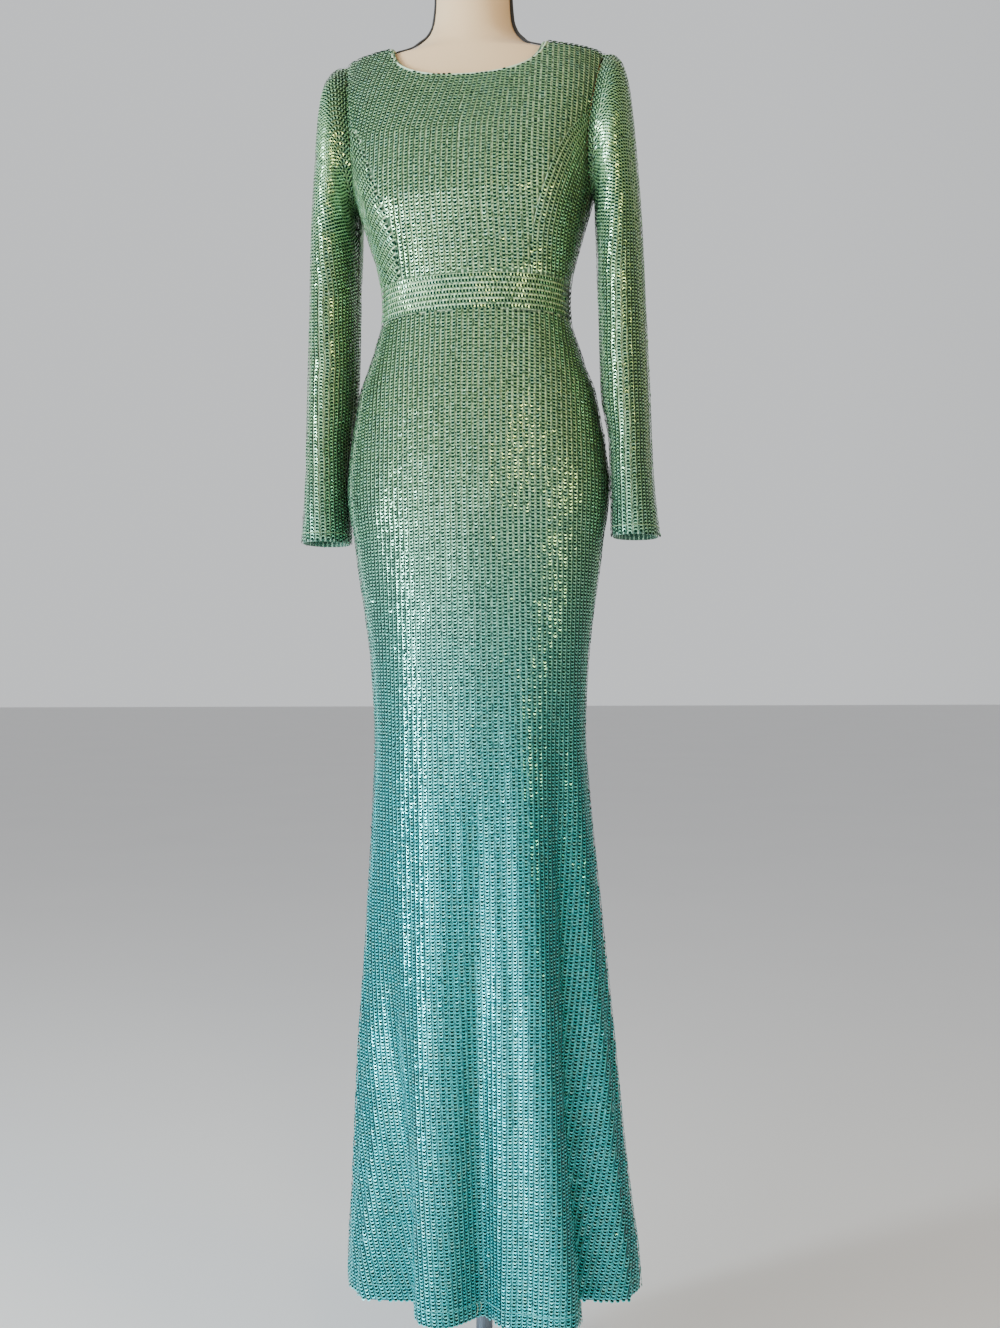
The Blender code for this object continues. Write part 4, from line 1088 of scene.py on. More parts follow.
# ---------------------------------------------------------------------------- finishes
class NodeTree:
    """A material's nodes, added and linked by short calls."""

    def __init__(self, name: str) -> None:
        """Starts a material with its shader."""
        self.material = bpy.data.materials.new(name)
        self.material.use_nodes = True
        self.tree = self.material.node_tree
        self.shader = self.tree.nodes["Principled BSDF"]

    def add(self, kind: str, **settings: object) -> bpy.types.Node:
        """Adds a node; settings name its properties, or its inputs with _ for a space.

        Args:
            kind: The node's type.
            **settings: Properties, or inputs with _ for a space.

        Returns:
            The node.
        """
        node = self.tree.nodes.new(kind)
        for name, value in settings.items():
            if hasattr(node, name):
                setattr(node, name, value)
            else:
                node.inputs[name.replace("_", " ")].default_value = value
        return node

    def link(self, source: bpy.types.NodeSocket, target: bpy.types.NodeSocket) -> None:
        """Links two sockets."""
        self.tree.links.new(source, target)

    def feed(self, socket: bpy.types.NodeSocket, value: object) -> None:
        """Feeds a socket from another socket, or sets it to a plain value."""
        if isinstance(value, bpy.types.NodeSocket):
            self.link(value, socket)
        else:
            socket.default_value = value

    def paint(self, colour: bpy.types.NodeSocket) -> None:
        """Gives the shader its colour."""
        self.link(colour, self.shader.inputs["Base Color"])

    def math(self, operation: str, first: object, second: object = 0.0) -> bpy.types.NodeSocket:
        """Adds a Math node of one or two inputs, sockets or numbers, and returns its value.

        Args:
            operation: What it works out.
            first: A socket or a number.
            second: A socket or a number.

        Returns:
            Its value.
        """
        node = self.add("ShaderNodeMath", operation=operation)
        for socket, value in zip(node.inputs, (first, second)):
            self.feed(socket, value)
        return node.outputs[0]

    def mix(self, share: object, first: object, second: object) -> bpy.types.NodeSocket:
        """Mixes two colours, sockets or values, by a share, and returns the colour.

        Args:
            share: 0 for the first colour, 1 for the second.
            first: A socket or a colour.
            second: A socket or a colour.

        Returns:
            The mixed colour.
        """
        node = self.add("ShaderNodeMix", data_type="RGBA")
        for place, value in ((0, share), (6, first), (7, second)):
            self.feed(node.inputs[place], value)
        return node.outputs[2]

    def ramp(self, value: bpy.types.NodeSocket, low: float, high: float) -> bpy.types.NodeSocket:
        """Returns a smooth 0 to 1 as the value goes from low to high.

        Args:
            value: What is compared.
            low: Where it is 0.
            high: Where it is 1.

        Returns:
            The share.
        """
        node = self.add("ShaderNodeMapRange", interpolation_type="SMOOTHSTEP", From_Min=low, From_Max=high)
        self.link(value, node.inputs["Value"])
        return node.outputs[0]

    def noise(self, scale: float, detail: float = 2.0, vector: object = None) -> bpy.types.NodeSocket:
        """Adds noise on Object coordinates, or on the given vector, and returns its value.

        Args:
            scale: Its scale.
            detail: Its detail.
            vector: Where it is read; Object coordinates if left out.

        Returns:
            Its value.
        """
        node = self.add("ShaderNodeTexNoise", Scale=scale, Detail=detail)
        self.link(vector or self.add("ShaderNodeTexCoord").outputs["Object"], node.inputs["Vector"])
        return node.outputs[0]

    def height(self) -> bpy.types.NodeSocket:
        """Returns the height of the shaded point."""
        split = self.add("ShaderNodeSeparateXYZ")
        self.link(self.add("ShaderNodeTexCoord").outputs["Object"], split.inputs[0])
        return split.outputs["Z"]

    def bump(self, height: bpy.types.NodeSocket, strength: float, distance: float) -> None:
        """Puts a bump of that height on the shader.

        Args:
            height: The pattern.
            strength: Its share.
            distance: How high it stands, in metres.
        """
        node = self.add("ShaderNodeBump", Strength=strength, Distance=distance)
        self.link(height, node.inputs["Height"])
        self.link(node.outputs[0], self.shader.inputs["Normal"])

    def set(self, **values: object) -> None:
        """Sets the shader's own sockets."""
        for name, value in values.items():
            self.shader.inputs[name.replace("_", " ")].default_value = value


PAINTED_LIGHT_TURN = (0.66, 1.30)  # heights between which the aqua of painted cool light gives way to the sage of painted warm light


@dataclass(frozen=True)
class SequinFinish:
    """Foiled plastic, painted sage above and aqua below as warm and cool light, with a painted shadow where
    each is tucked under the next.
    """

    # upper and lower are painted light: sage where warm light falls on the bodice, aqua where cool light
    # falls on the skirt.
    upper: Colour = (0.380, 0.700, 0.330, 1.0)
    lower: Colour = (0.030, 0.800, 0.900, 1.0)
    pale: Colour = (0.400, 0.860, 0.700, 1.0)
    # shadow is a painted shadow, laid where the sequin above laps over.
    shadow: Colour = (0.003, 0.020, 0.014, 1.0)
    metallic: float = 0.42
    coat: float = 0.35
    specular: float = 0.50
    lap: float = 1.64  # centre of the sequin above, in radii
    shadow_reach: float = 2.00
    shadow_half: float = 0.80
    blur: float = 0.04  # half the shadow's soft edge
    pale_power: float = 2.2
    pale_share: float = 0.45
    roughness: float = 0.16
    coat_roughness: float = 0.06

    def material(self) -> bpy.types.Material:
        """Builds the material.

        Returns:
            The material.
        """
        nodes = NodeTree("sequin_foil")
        nodes.set(Roughness=self.roughness, Coat_Roughness=self.coat_roughness)
        # Painted light: aqua below turning to sage above, by height.
        colour = nodes.mix(nodes.ramp(nodes.height(), *PAINTED_LIGHT_TURN), self.lower, self.upper)
        tone = nodes.add("ShaderNodeAttribute", attribute_name="tone").outputs["Fac"]
        pale = nodes.math("MULTIPLY", nodes.math("POWER", tone, self.pale_power), self.pale_share)
        colour = nodes.mix(pale, colour, self.pale)
        disc = nodes.add("ShaderNodeUVMap", uv_map="disc").outputs[0]
        lap = nodes.add("ShaderNodeVectorMath", operation="DISTANCE")
        nodes.link(disc, lap.inputs[0])
        lap.inputs[1].default_value = (0.5, 0.5 + self.lap / 2, 0.0)
        split = nodes.add("ShaderNodeSeparateXYZ")
        nodes.link(disc, split.inputs[0])
        aside = nodes.math("ABSOLUTE", nodes.math("SUBTRACT", split.outputs["X"], 0.5))
        # Painted shadow where the sequin above laps over: dark, with no metal, coat or gloss.
        reach, half, blur = self.shadow_reach / 2, self.shadow_half / 2, self.blur
        near = nodes.math("SUBTRACT", 1.0, nodes.ramp(lap.outputs["Value"], reach - blur, reach + blur))
        middle = nodes.math("SUBTRACT", 1.0, nodes.ramp(aside, half - blur, half + blur))
        tucked = nodes.math("MULTIPLY", near, middle)
        nodes.paint(nodes.mix(tucked, colour, self.shadow))
        bare = nodes.math("SUBTRACT", 1.0, tucked)
        for socket, amount in (
            ("Metallic", self.metallic), ("Coat Weight", self.coat), ("Specular IOR Level", self.specular),
        ):
            nodes.link(nodes.math("MULTIPLY", bare, amount), nodes.shader.inputs[socket])
        return nodes.material


@dataclass(frozen=True)
class NetFinish:
    """Net: painted shade under each column of sequins, pale thread between the columns, both tinted by height
    as painted light.
    """

    # The under colours are painted shade beneath the sequins; upper and lower are painted warm light above
    # and cool light below.
    under_upper: Colour = (0.035, 0.110, 0.050, 1.0)
    under_lower: Colour = (0.015, 0.190, 0.220, 1.0)
    # The thread's two colours are painted warm light above and painted cool light below.
    thread_upper: Colour = (0.560, 0.800, 0.480, 1.0)
    thread_lower: Colour = (0.080, 0.800, 0.860, 1.0)
    thread_half: float = 0.15  # half the thread's width, in columns
    thread_blur: float = 0.06
    stitches: float = 2.0  # for each sequin along a column

    def material(self) -> bpy.types.Material:
        """Builds the material, on the piece's own column map.

        Returns:
            The material.
        """
        nodes = NodeTree("sequin_net")
        nodes.set(Roughness=0.55, Sheen_Weight=0.2)
        uv = nodes.add("ShaderNodeUVMap", uv_map="columns").outputs[0]
        split = nodes.add("ShaderNodeSeparateXYZ")
        nodes.link(uv, split.inputs[0])
        column = nodes.math("FRACT", split.outputs["X"])
        from_line = nodes.math("MINIMUM", column, nodes.math("SUBTRACT", 1.0, column))
        under = nodes.ramp(from_line, self.thread_half, self.thread_half + self.thread_blur)
        # Painted light by height: cool below, warm above, on the thread and on the painted shade.
        rise = nodes.ramp(nodes.height(), *PAINTED_LIGHT_TURN)
        thread = nodes.mix(rise, self.thread_lower, self.thread_upper)
        dim = nodes.mix(rise, self.under_lower, self.under_upper)
        knots = nodes.ramp(nodes.noise(1.3, 3.0, uv), 0.62, 0.42)
        # Painted shade under each column, pale thread between the columns.
        nodes.paint(nodes.mix(under, nodes.mix(knots, dim, thread), dim))
        stitch = nodes.math("SINE", nodes.math("MULTIPLY", split.outputs["Y"], self.stitches * 2 * math.pi))
        nodes.bump(nodes.math("ADD", nodes.math("MULTIPLY", stitch, 0.4), under), 0.5, 0.0004)
        return nodes.material


@dataclass(frozen=True)
class KnitFinish:
    """Fine knitted or woven cloth: ribs up and across at one gauge, with a soft nap."""

    name: str
    colour: Colour
    shade: Colour
    gauge: float = 0.0009
    sheen: float = 0.25
    roughness: float = 0.80
    bump_depth: float = 0.00012

    def material(self) -> bpy.types.Material:
        """Builds the material.

        Returns:
            The material.
        """
        nodes = NodeTree(self.name)
        nodes.set(Roughness=self.roughness, Sheen_Weight=self.sheen)
        place = nodes.add("ShaderNodeTexCoord").outputs["Object"]
        ribs = [
            nodes.add("ShaderNodeTexWave", bands_direction=way, Scale=0.314 / self.gauge, Distortion=0.6)
            for way in ("X", "Z")
        ]
        for rib in ribs:
            nodes.link(place, rib.inputs["Vector"])
        weave = nodes.math("ADD", ribs[0].outputs["Fac"], ribs[1].outputs["Fac"])
        cloud = nodes.noise(9.0, 4.0)
        share = nodes.math("ADD", nodes.math("MULTIPLY", weave, 0.18), nodes.math("MULTIPLY", cloud, 0.6))
        nodes.paint(nodes.mix(share, self.colour, self.shade))
        nodes.bump(nodes.math("ADD", weave, nodes.noise(900.0, 2.0)), 0.6, self.bump_depth)
        return nodes.material


@dataclass(frozen=True)
class MetalFinish:
    """Satin metal or painted metal, with faint cloudiness and fine scratches."""

    name: str
    colour: Colour
    worn: Colour
    metallic: float = 0.9
    roughness: float = 0.34

    def material(self) -> bpy.types.Material:
        """Builds the material.

        Returns:
            The material.
        """
        nodes = NodeTree(self.name)
        nodes.set(Metallic=self.metallic, Coat_Weight=0.12, Coat_Roughness=0.25)
        cloud, grain = nodes.noise(14.0, 5.0), nodes.noise(420.0, 3.0)
        share = nodes.math("MULTIPLY", nodes.ramp(cloud, 0.45, 0.75), 0.6)
        nodes.paint(nodes.mix(share, self.colour, self.worn))
        rough = nodes.math("ADD", self.roughness - 0.06, nodes.math("MULTIPLY", cloud, 0.14))
        nodes.link(rough, nodes.shader.inputs["Roughness"])
        nodes.bump(grain, 0.25, 0.00005)
        return nodes.material


@dataclass(frozen=True)
class FloorFinish:
    """Plain pale matt floor."""

    colour: Colour = (0.88, 0.88, 0.89, 1.0)
    shade: Colour = (0.84, 0.84, 0.855, 1.0)

    def material(self) -> bpy.types.Material:
        """Builds the material.

        Returns:
            The material.
        """
        nodes = NodeTree("floor")
        nodes.set(Roughness=0.85)
        nodes.paint(nodes.mix(nodes.noise(1.5, 3.0), self.colour, self.shade))
        return nodes.material


# ---------------------------------------------------------------------------- sub-assemblies
THREAD_ENDS = (  # name, degrees from the front, length down the cloth, and sway in radians
    ("thread_end_a", -2.0, 0.0136, 0.0072),
    ("thread_end_b", -0.4, 0.0104, 0.0096),
)
RING_PIECES = (  # name ending, first and last angle, and the angle of its straight column
    ("front", -np.pi / 2, np.pi / 2, 0.0),
    ("back_left", np.pi / 2, np.pi, np.pi),
    ("back_right", -np.pi, -np.pi / 2, -np.pi),
)


@dataclass
class Gown:
    """The gown: bodice, band, skirt and sleeves, with their edges and the zip."""

    form: GownForm
    net: bpy.types.Material
    foil: bpy.types.Material
    edging: bpy.types.Material
    coil: bpy.types.Material
    # One cotton in two colours: aqua at the hem is painted cool light, sage at the cuffs painted warm light.
    hem_cotton: bpy.types.Material
    cuff_cotton: bpy.types.Material
    table_step: float = 0.004
    cloth_step: float = 0.007
    band_rows: int = 7
    edge_roll: float = 0.0013  # radius of the neck's rolled edge
    edge_sunk: float = 0.0009
    hem_depth: float = 0.020
    thread: float = 0.00040
    thread_off: float = 0.0012
    zip_span: Tuple[float, float] = (1.197, 1.683)
    coil_pitch: float = 0.0015
    coil_half: float = 0.0017
    coil_depth: float = 0.0010
    tooth: Tuple[float, float] = (0.42, 0.5)  # half height and half depth, in coil pitches
    end_thread: float = 0.00035
    end_proud: Tuple[float, float] = (0.0030, 0.001)  # at its root, and added by its tip
    cuff_rings: float = 0.2  # height of a cuff's thread, in sleeve rings

    def table(self, low_z: float, high_z: float, start: float, end: float, zero: float) -> ArcTable:
        """Samples the gown between two heights and two angles.

        Args:
            low_z: Lower height.
            high_z: Upper height.
            start: First angle.
            end: Last angle.
            zero: The angle from which distances across are measured.

        Returns:
            The table.
        """
        s = self.form.s_at(np.array([low_z, high_z]))
        rows = round((s[1] - s[0]) / self.table_step) + 1
        columns = round(math.degrees(end - start)) + 1
        return ArcTable(self.form.point, np.linspace(start, end, columns), np.linspace(*s, rows), zero)

    def panel(self, node: str, table: ArcTable, grid: Array, **more: object) -> None:
        """Builds one panel with the gown's own cloth."""
        ClothPanel(node, table, grid, self.net, self.foil, **more).build()

    def ring_grid(self, low_z: float, high_z: float, start: float, end: float) -> Array:
        """A grid of (angle, s) between two level rings and two angles.

        Args:
            low_z: Lower height.
            high_z: Upper height.
            start: First angle.
            end: Last angle.

        Returns:
            The grid, (rows, columns, 2).
        """
        s = self.form.s_at(np.array([low_z, high_z]))
        rows = max(6, round((s[1] - s[0]) / self.cloth_step)) + 1
        columns = round(math.degrees(end - start) / 2.5) + 1
        angle, ring = np.meshgrid(np.linspace(start, end, columns), np.linspace(*s, rows))
        return np.stack([angle, ring], axis=-1)

    def skirt(self) -> None:
        """Front and two backs, their columns parallel to the centre lines."""
        low, high = self.form.hem_z, self.form.band_bottom_z
        for seed, (ending, start, end, zero) in enumerate(RING_PIECES, 11):
            table = self.table(low, high, start, end, zero)
            grid = self.ring_grid(low, high, start, end)
            self.panel(f"skirt_{ending}", table, grid, seed=seed, held="hung")

    def waistband(self) -> None:
        """Band with level rows of sequins."""
        low, high = self.form.band_bottom_z, self.form.band_top_z
        s = self.form.s_at(np.array([low, high]))
        count = self.band_rows
        rows = s[0] + (np.arange(count) + 0.5) * (s[1] - s[0]) / count
        spec = SequinSpec(pitch=float(s[1] - s[0]) / count, radius=0.0023)
        for seed, (ending, start, end, zero) in enumerate(RING_PIECES, 21):
            self.panel(
                f"waistband_{ending}", self.table(low, high, start, end, zero),
                self.ring_grid(low, high, start, end), cut=Cut.ROUND,
                row_heights=tuple(rows), spec=spec, seed=seed, valley_width=0.002,
            )

    def bodice_front_centre(self) -> None:
        """Centre front between the princess seams."""
        form = self.form
        seam = form.princess_seam(-1, SEAM_STEPS)
        hole = form.armhole(-1, True, HOLE_STEPS)[round(HOLE_STEPS * ARMHOLE_SPLIT):]
        hole[0] = seam[-1]
        left = np.concatenate([seam, hole[1:]])
        right = left * np.array([-1.0, 1.0])
        shoulder = form.shoulder_seam(1, 10)
        neck = form.neckline(True, -1, 1, 50)
        top = np.concatenate([shoulder * np.array([-1.0, 1.0]), neck[1:-1], shoulder[::-1]])
        grid = form.patch(top, left, right)
        table = self.table(form.band_top_z, form.neck_side_z, -np.pi / 2, np.pi / 2, 0.0)
        self.panel("bodice_front_centre", table, grid, cut=Cut.CHEST, seed=31, edge_margin=0.0029)

    def bodice_front_side(self, side: int, node: str) -> None:
        """Side front from the princess seam to the side seam.

        Args:
            side: 1 for the wearer's left, -1 for the right.
            node: The solid that it stands for.
        """
        form = self.form
        inner, outer = form.princess_seam(side, SEAM_STEPS), form.side_seam(side)
        top = form.armhole(side, True, HOLE_STEPS)[: round(HOLE_STEPS * ARMHOLE_SPLIT) + 1]
        top[-1] = inner[-1]
        left, right = (inner, outer) if side > 0 else (outer, inner)
        top = top[::-1] if side > 0 else top
        grid = form.patch(top, left, right)
        start, end = (0.0, np.pi / 2) if side > 0 else (-np.pi / 2, 0.0)
        table = self.table(form.band_top_z, form.tip_z, start, end, 0.0)
        seam_arc = table.lookup(table.arc, inner[:, 0], inner[:, 1])
        cut = Cut.ALONG_SEAM if side > 0 else Cut.SLANTED
        self.panel(
            node, table, grid, cut=cut, seed=33 + side,
            seam_shift=lambda rows: np.interp(rows, inner[:, 1], seam_arc),
        )

    def bodice_back(self, side: int, node: str) -> None:
        """Back from the side seam and armhole to the zip.

        Args:
            side: 1 for the wearer's left, -1 for the right.
            node: The solid that it stands for.
        """
        form = self.form
        outer = np.concatenate([form.side_seam(side), form.armhole(side, False, 50)[1:]])
        centre_s = np.linspace(outer[0, 1], form.s_at(form.neck_side_z - form.back_neck[0]), len(outer))
        centre = np.stack([np.full(len(outer), side * np.pi), centre_s], axis=-1)
        top = np.concatenate(
            [form.shoulder_seam(side, 10), form.neckline(False, side, side * 1e-9, 26)[1:]]
        )
        left, right = (outer, centre) if side > 0 else (centre, outer)
        top = top if side > 0 else top[::-1]
        grid = form.patch(top, left, right)
        start, end = (np.pi / 2, np.pi) if side > 0 else (-np.pi, -np.pi / 2)
        table = self.table(form.band_top_z, form.neck_side_z, start, end, side * np.pi)
        self.panel(node, table, grid, seed=36 + side)

    def sleeves(self) -> None:
        """Two set-in sleeves, their columns parallel to the outer side."""
        turns, rings = np.linspace(0, 2 * np.pi, 181), np.linspace(0, len(SLEEVE_RINGS) - 1, 181)
        for side, label in SIDES:
            table = ArcTable(SleeveForm(self.form, side).point, turns, rings, np.pi)
            turn, ring = np.meshgrid(np.linspace(0, 2 * np.pi, 73), np.linspace(0, rings[-1], 93))
            grid = np.stack([turn, ring], axis=-1)
            self.panel(
                f"sleeve_{label}", table, grid, seed=41 + side, held="hung",
                rests_on=(f"bodice_back_{label}_net",),
            )

    def neck_edge(self) -> None:
        """The rolled pale edge round the neck."""
        form = self.form
        front = form.neckline(True, -1, 1, 80)
        backs = [form.neckline(False, side, side * 1e-9, 40) for side in (1, -1)]
        loop = np.concatenate([front, backs[0][1:], backs[1][::-1][1:-1]])
        table = self.table(form.tip_z - 0.08, form.neck_side_z + 0.01, -np.pi, np.pi, 0.0)
        line = form.point(loop[:, 0], loop[:, 1]) - self.edge_sunk * table.normal(loop[:, 0], loop[:, 1])
        dress_piece(tube_object("neck_edge", line, self.edge_roll, closed=True), self.edging, "sequin_net")

    def thread_piece(self, name: str, line: Array, material: bpy.types.Material) -> None:
        """One closed ring of thread."""
        dress_piece(tube_object(name, line, self.thread, 6, closed=True), material, "sequin_net")

    def hem_and_cuffs(self) -> None:
        """Stitched hems: a thread round the skirt and each cuff, and two loose thread ends."""
        s = float(self.form.s_at(self.form.hem_z + self.hem_depth))
        turn = np.linspace(-np.pi, np.pi, 400, endpoint=False)
        table = self.table(self.form.hem_z, self.form.hem_z + 0.1, -np.pi, np.pi, 0.0)
        ring = self.form.point(turn, np.full_like(turn, s))
        ring = ring + self.thread_off * table.normal(turn, np.full_like(turn, s))
        self.thread_piece("hem_thread", ring, self.hem_cotton)
        for side, label in SIDES:
            surface = SleeveForm(self.form, side).point
            rings = np.linspace(len(SLEEVE_RINGS) - 2, len(SLEEVE_RINGS) - 1, 30)
            cuff = ArcTable(surface, np.linspace(0, 2 * np.pi, 90), rings, np.pi)
            around_cuff = np.linspace(0, 2 * np.pi, 160, endpoint=False)
            level = np.full_like(around_cuff, len(SLEEVE_RINGS) - (1 + self.cuff_rings))
            line = surface(around_cuff, level) + self.thread_off * cuff.normal(around_cuff, level)
            self.thread_piece(f"cuff_thread_{label}", line, self.cuff_cotton)
        share = np.linspace(0, 1, 24)
        for name, angle, length, sway in THREAD_ENDS:
            bend = math.radians(angle) + sway * np.sin(share * 4)
            place = s - share * length
            proud = (self.end_proud[0] + self.end_proud[1] * share)[:, None]
            line = self.form.point(bend, place) + proud * table.normal(bend, place)
            dress_piece(tube_object(name, line, self.end_thread, 6), self.edging, "sequin_net")

    def zip_teeth(self) -> None:
        """The zip's coil in the centre-back opening: one small rounded bar for each turn."""
        z = np.arange(*self.zip_span, self.coil_pitch)
        s = self.form.s_at(z)
        back = np.full_like(s, np.pi)
        centre = self.form.point(back, s) + np.array([0.0, -self.coil_depth, 0.0])
        along = unit(self.form.point(back, s + 1e-3) - self.form.point(back, s - 1e-3))
        out = unit(np.cross(along, np.array([-1.0, 0.0, 0.0])))
        out = out * np.sign(out[:, 1:2])
        sides = 6
        turn = np.linspace(0, 2 * np.pi, sides, endpoint=False)
        high, deep = self.tooth
        section = np.cos(turn)[:, None] * along[:, None] * high + np.sin(turn)[:, None] * out[:, None] * deep
        ends = np.array([-1.0, 1.0])[:, None, None] * np.array([self.coil_half, 0.0, 0.0])
        points = centre[:, None, None] + ends[None] + section[:, None] * self.coil_pitch
        faces = capped_tube_faces(2, sides)[None] + (np.arange(len(z)) * 2 * sides)[:, None, None]
        piece = mesh_object("zip_coil", points.reshape(-1, 3), faces.reshape(-1, 3))
        dress_piece(piece, self.coil, "zip_metal")

    def build(self) -> None:
        """Builds every piece of the gown."""
        self.skirt()
        self.waistband()
        self.bodice_front_centre()
        for side, label in SIDES:
            self.bodice_front_side(side, f"bodice_front_side_{label}")
            self.bodice_back(side, f"bodice_back_{label}")
        self.sleeves()
        self.neck_edge()
        self.hem_and_cuffs()
        self.zip_teeth()


class PipingStation(NamedTuple):
    """The piping at one height: degrees from the front, and how far it stands proud."""

    z: float
    degrees: float
    height: float


PIPING = [
    PipingStation(1.7215, 50, 0.0017),
    PipingStation(1.7270, 53, 0.0023),
    PipingStation(1.7350, 62, 0.0031),
    PipingStation(1.7460, 75, 0.0035),
    PipingStation(1.7620, 83, 0.0033),
    PipingStation(1.7950, 87, 0.0029),
    PipingStation(1.8350, 88, 0.0027),
]


@dataclass
class DressForm:
    """The limbless form: torso and neck in jersey, piping up the shoulders, on its stand."""

    gown: GownForm
    jersey: bpy.types.Material
    tape: bpy.types.Material
    inset: float = 0.0062
    back_inset: float = 0.0072
    bottom_z: float = 1.035
    neck_top_z: float = 1.835
    piping_width: float = 0.0075
    piping_gap: float = 0.0006
    piping_rows: int = 90
    piping_sides: int = 18
    piping_end_rows: int = 3  # over which its lower end rises
    piping_round: float = 0.7  # exponent of its section
    skin_columns: int = 128
    skin_rows: int = 120

    def point(self, angle: Array, s: Array) -> Array:
        """The form's skin: square inwards from the gown's face, a little more at the back.

        Args:
            angle: Angle from the front.
            s: Place up the side outline.

        Returns:
            Points of the skin.
        """
        depth = self.inset + (self.back_inset - self.inset) * (0.5 - 0.5 * np.cos(angle))
        inwards = -outward(self.gown.point, angle, s)
        return self.gown.point(angle, s) + np.asarray(depth)[..., None] * inwards

    def torso(self) -> None:
        """One closed skin from the hips to the neck's top."""
        columns, rows = self.skin_columns, self.skin_rows
        angle = np.linspace(-np.pi, np.pi, columns, endpoint=False)
        s = np.linspace(*self.gown.s_at(np.array([self.bottom_z, self.neck_top_z])), rows)
        skin = self.point(angle[None], s[:, None])
        ends = np.stack([skin[0].mean(axis=0), skin[-1].mean(axis=0)])
        points = np.concatenate([skin.reshape(-1, 3), ends])
        quads = grid_faces(rows, columns, closed=True)
        k, top = np.arange(columns), (rows - 1) * columns
        n = (k + 1) % columns
        low, high = np.full(columns, rows * columns), np.full(columns, rows * columns + 1)
        caps = np.concatenate([np.stack([n, k, low], -1), np.stack([top + k, top + n, high], -1)])
        triangles = np.concatenate([quads[:, [0, 1, 2]], quads[:, [0, 2, 3]], caps])
        piece = mesh_object("torso_skin", points, triangles)
        dress_piece(piece, self.jersey, "form_jersey", "form_torso")

    def piping(self, side: int, label: str) -> None:
        """A rounded band along the shoulder's edge and up the neck: half an oval on a flat base.

        Args:
            side: 1 for the wearer's left, -1 for the right.
            label: The side's name.
        """
        rows, sides = self.piping_rows, self.piping_sides
        station = field_arrays(PIPING)
        s = np.linspace(*self.gown.s_at(station["z"][[0, -1]]), rows)
        z = self.gown.section("z", s)
        angle = side * np.radians(smooth_curve(station["z"], station["degrees"], z))
        height = smooth_curve(station["z"], station["height"], z)
        from_end = np.minimum(np.arange(rows) / self.piping_end_rows, 1)
        height = height * np.sqrt(np.clip(1 - (1 - from_end) ** 2, 0.05, 1))
        spine = self.point(angle, s)
        out = outward(self.point, angle, s)
        sideways = unit(np.cross(unit(np.gradient(spine, axis=0)), out))
        turn = np.linspace(0, 2 * np.pi, sides, endpoint=False)
        spread = np.cos(turn)[None, :, None] * self.piping_width / 2 * sideways[:, None]
        round_top = np.clip(np.sin(turn), 0, None)[None, :, None] ** self.piping_round * height[:, None, None]
        points = spine[:, None] + spread + (self.piping_gap + round_top) * out[:, None]
        faces = capped_tube_faces(rows, sides)
        piece = mesh_object(f"shoulder_piping_{label}", points.reshape(-1, 3), faces)
        dress_piece(piece, self.tape, "piping", f"form_piping_{label}")

    def build(self) -> None:
        """Builds the skin and both pipings."""
        self.torso()
        for side, label in SIDES:
            self.piping(side, label)


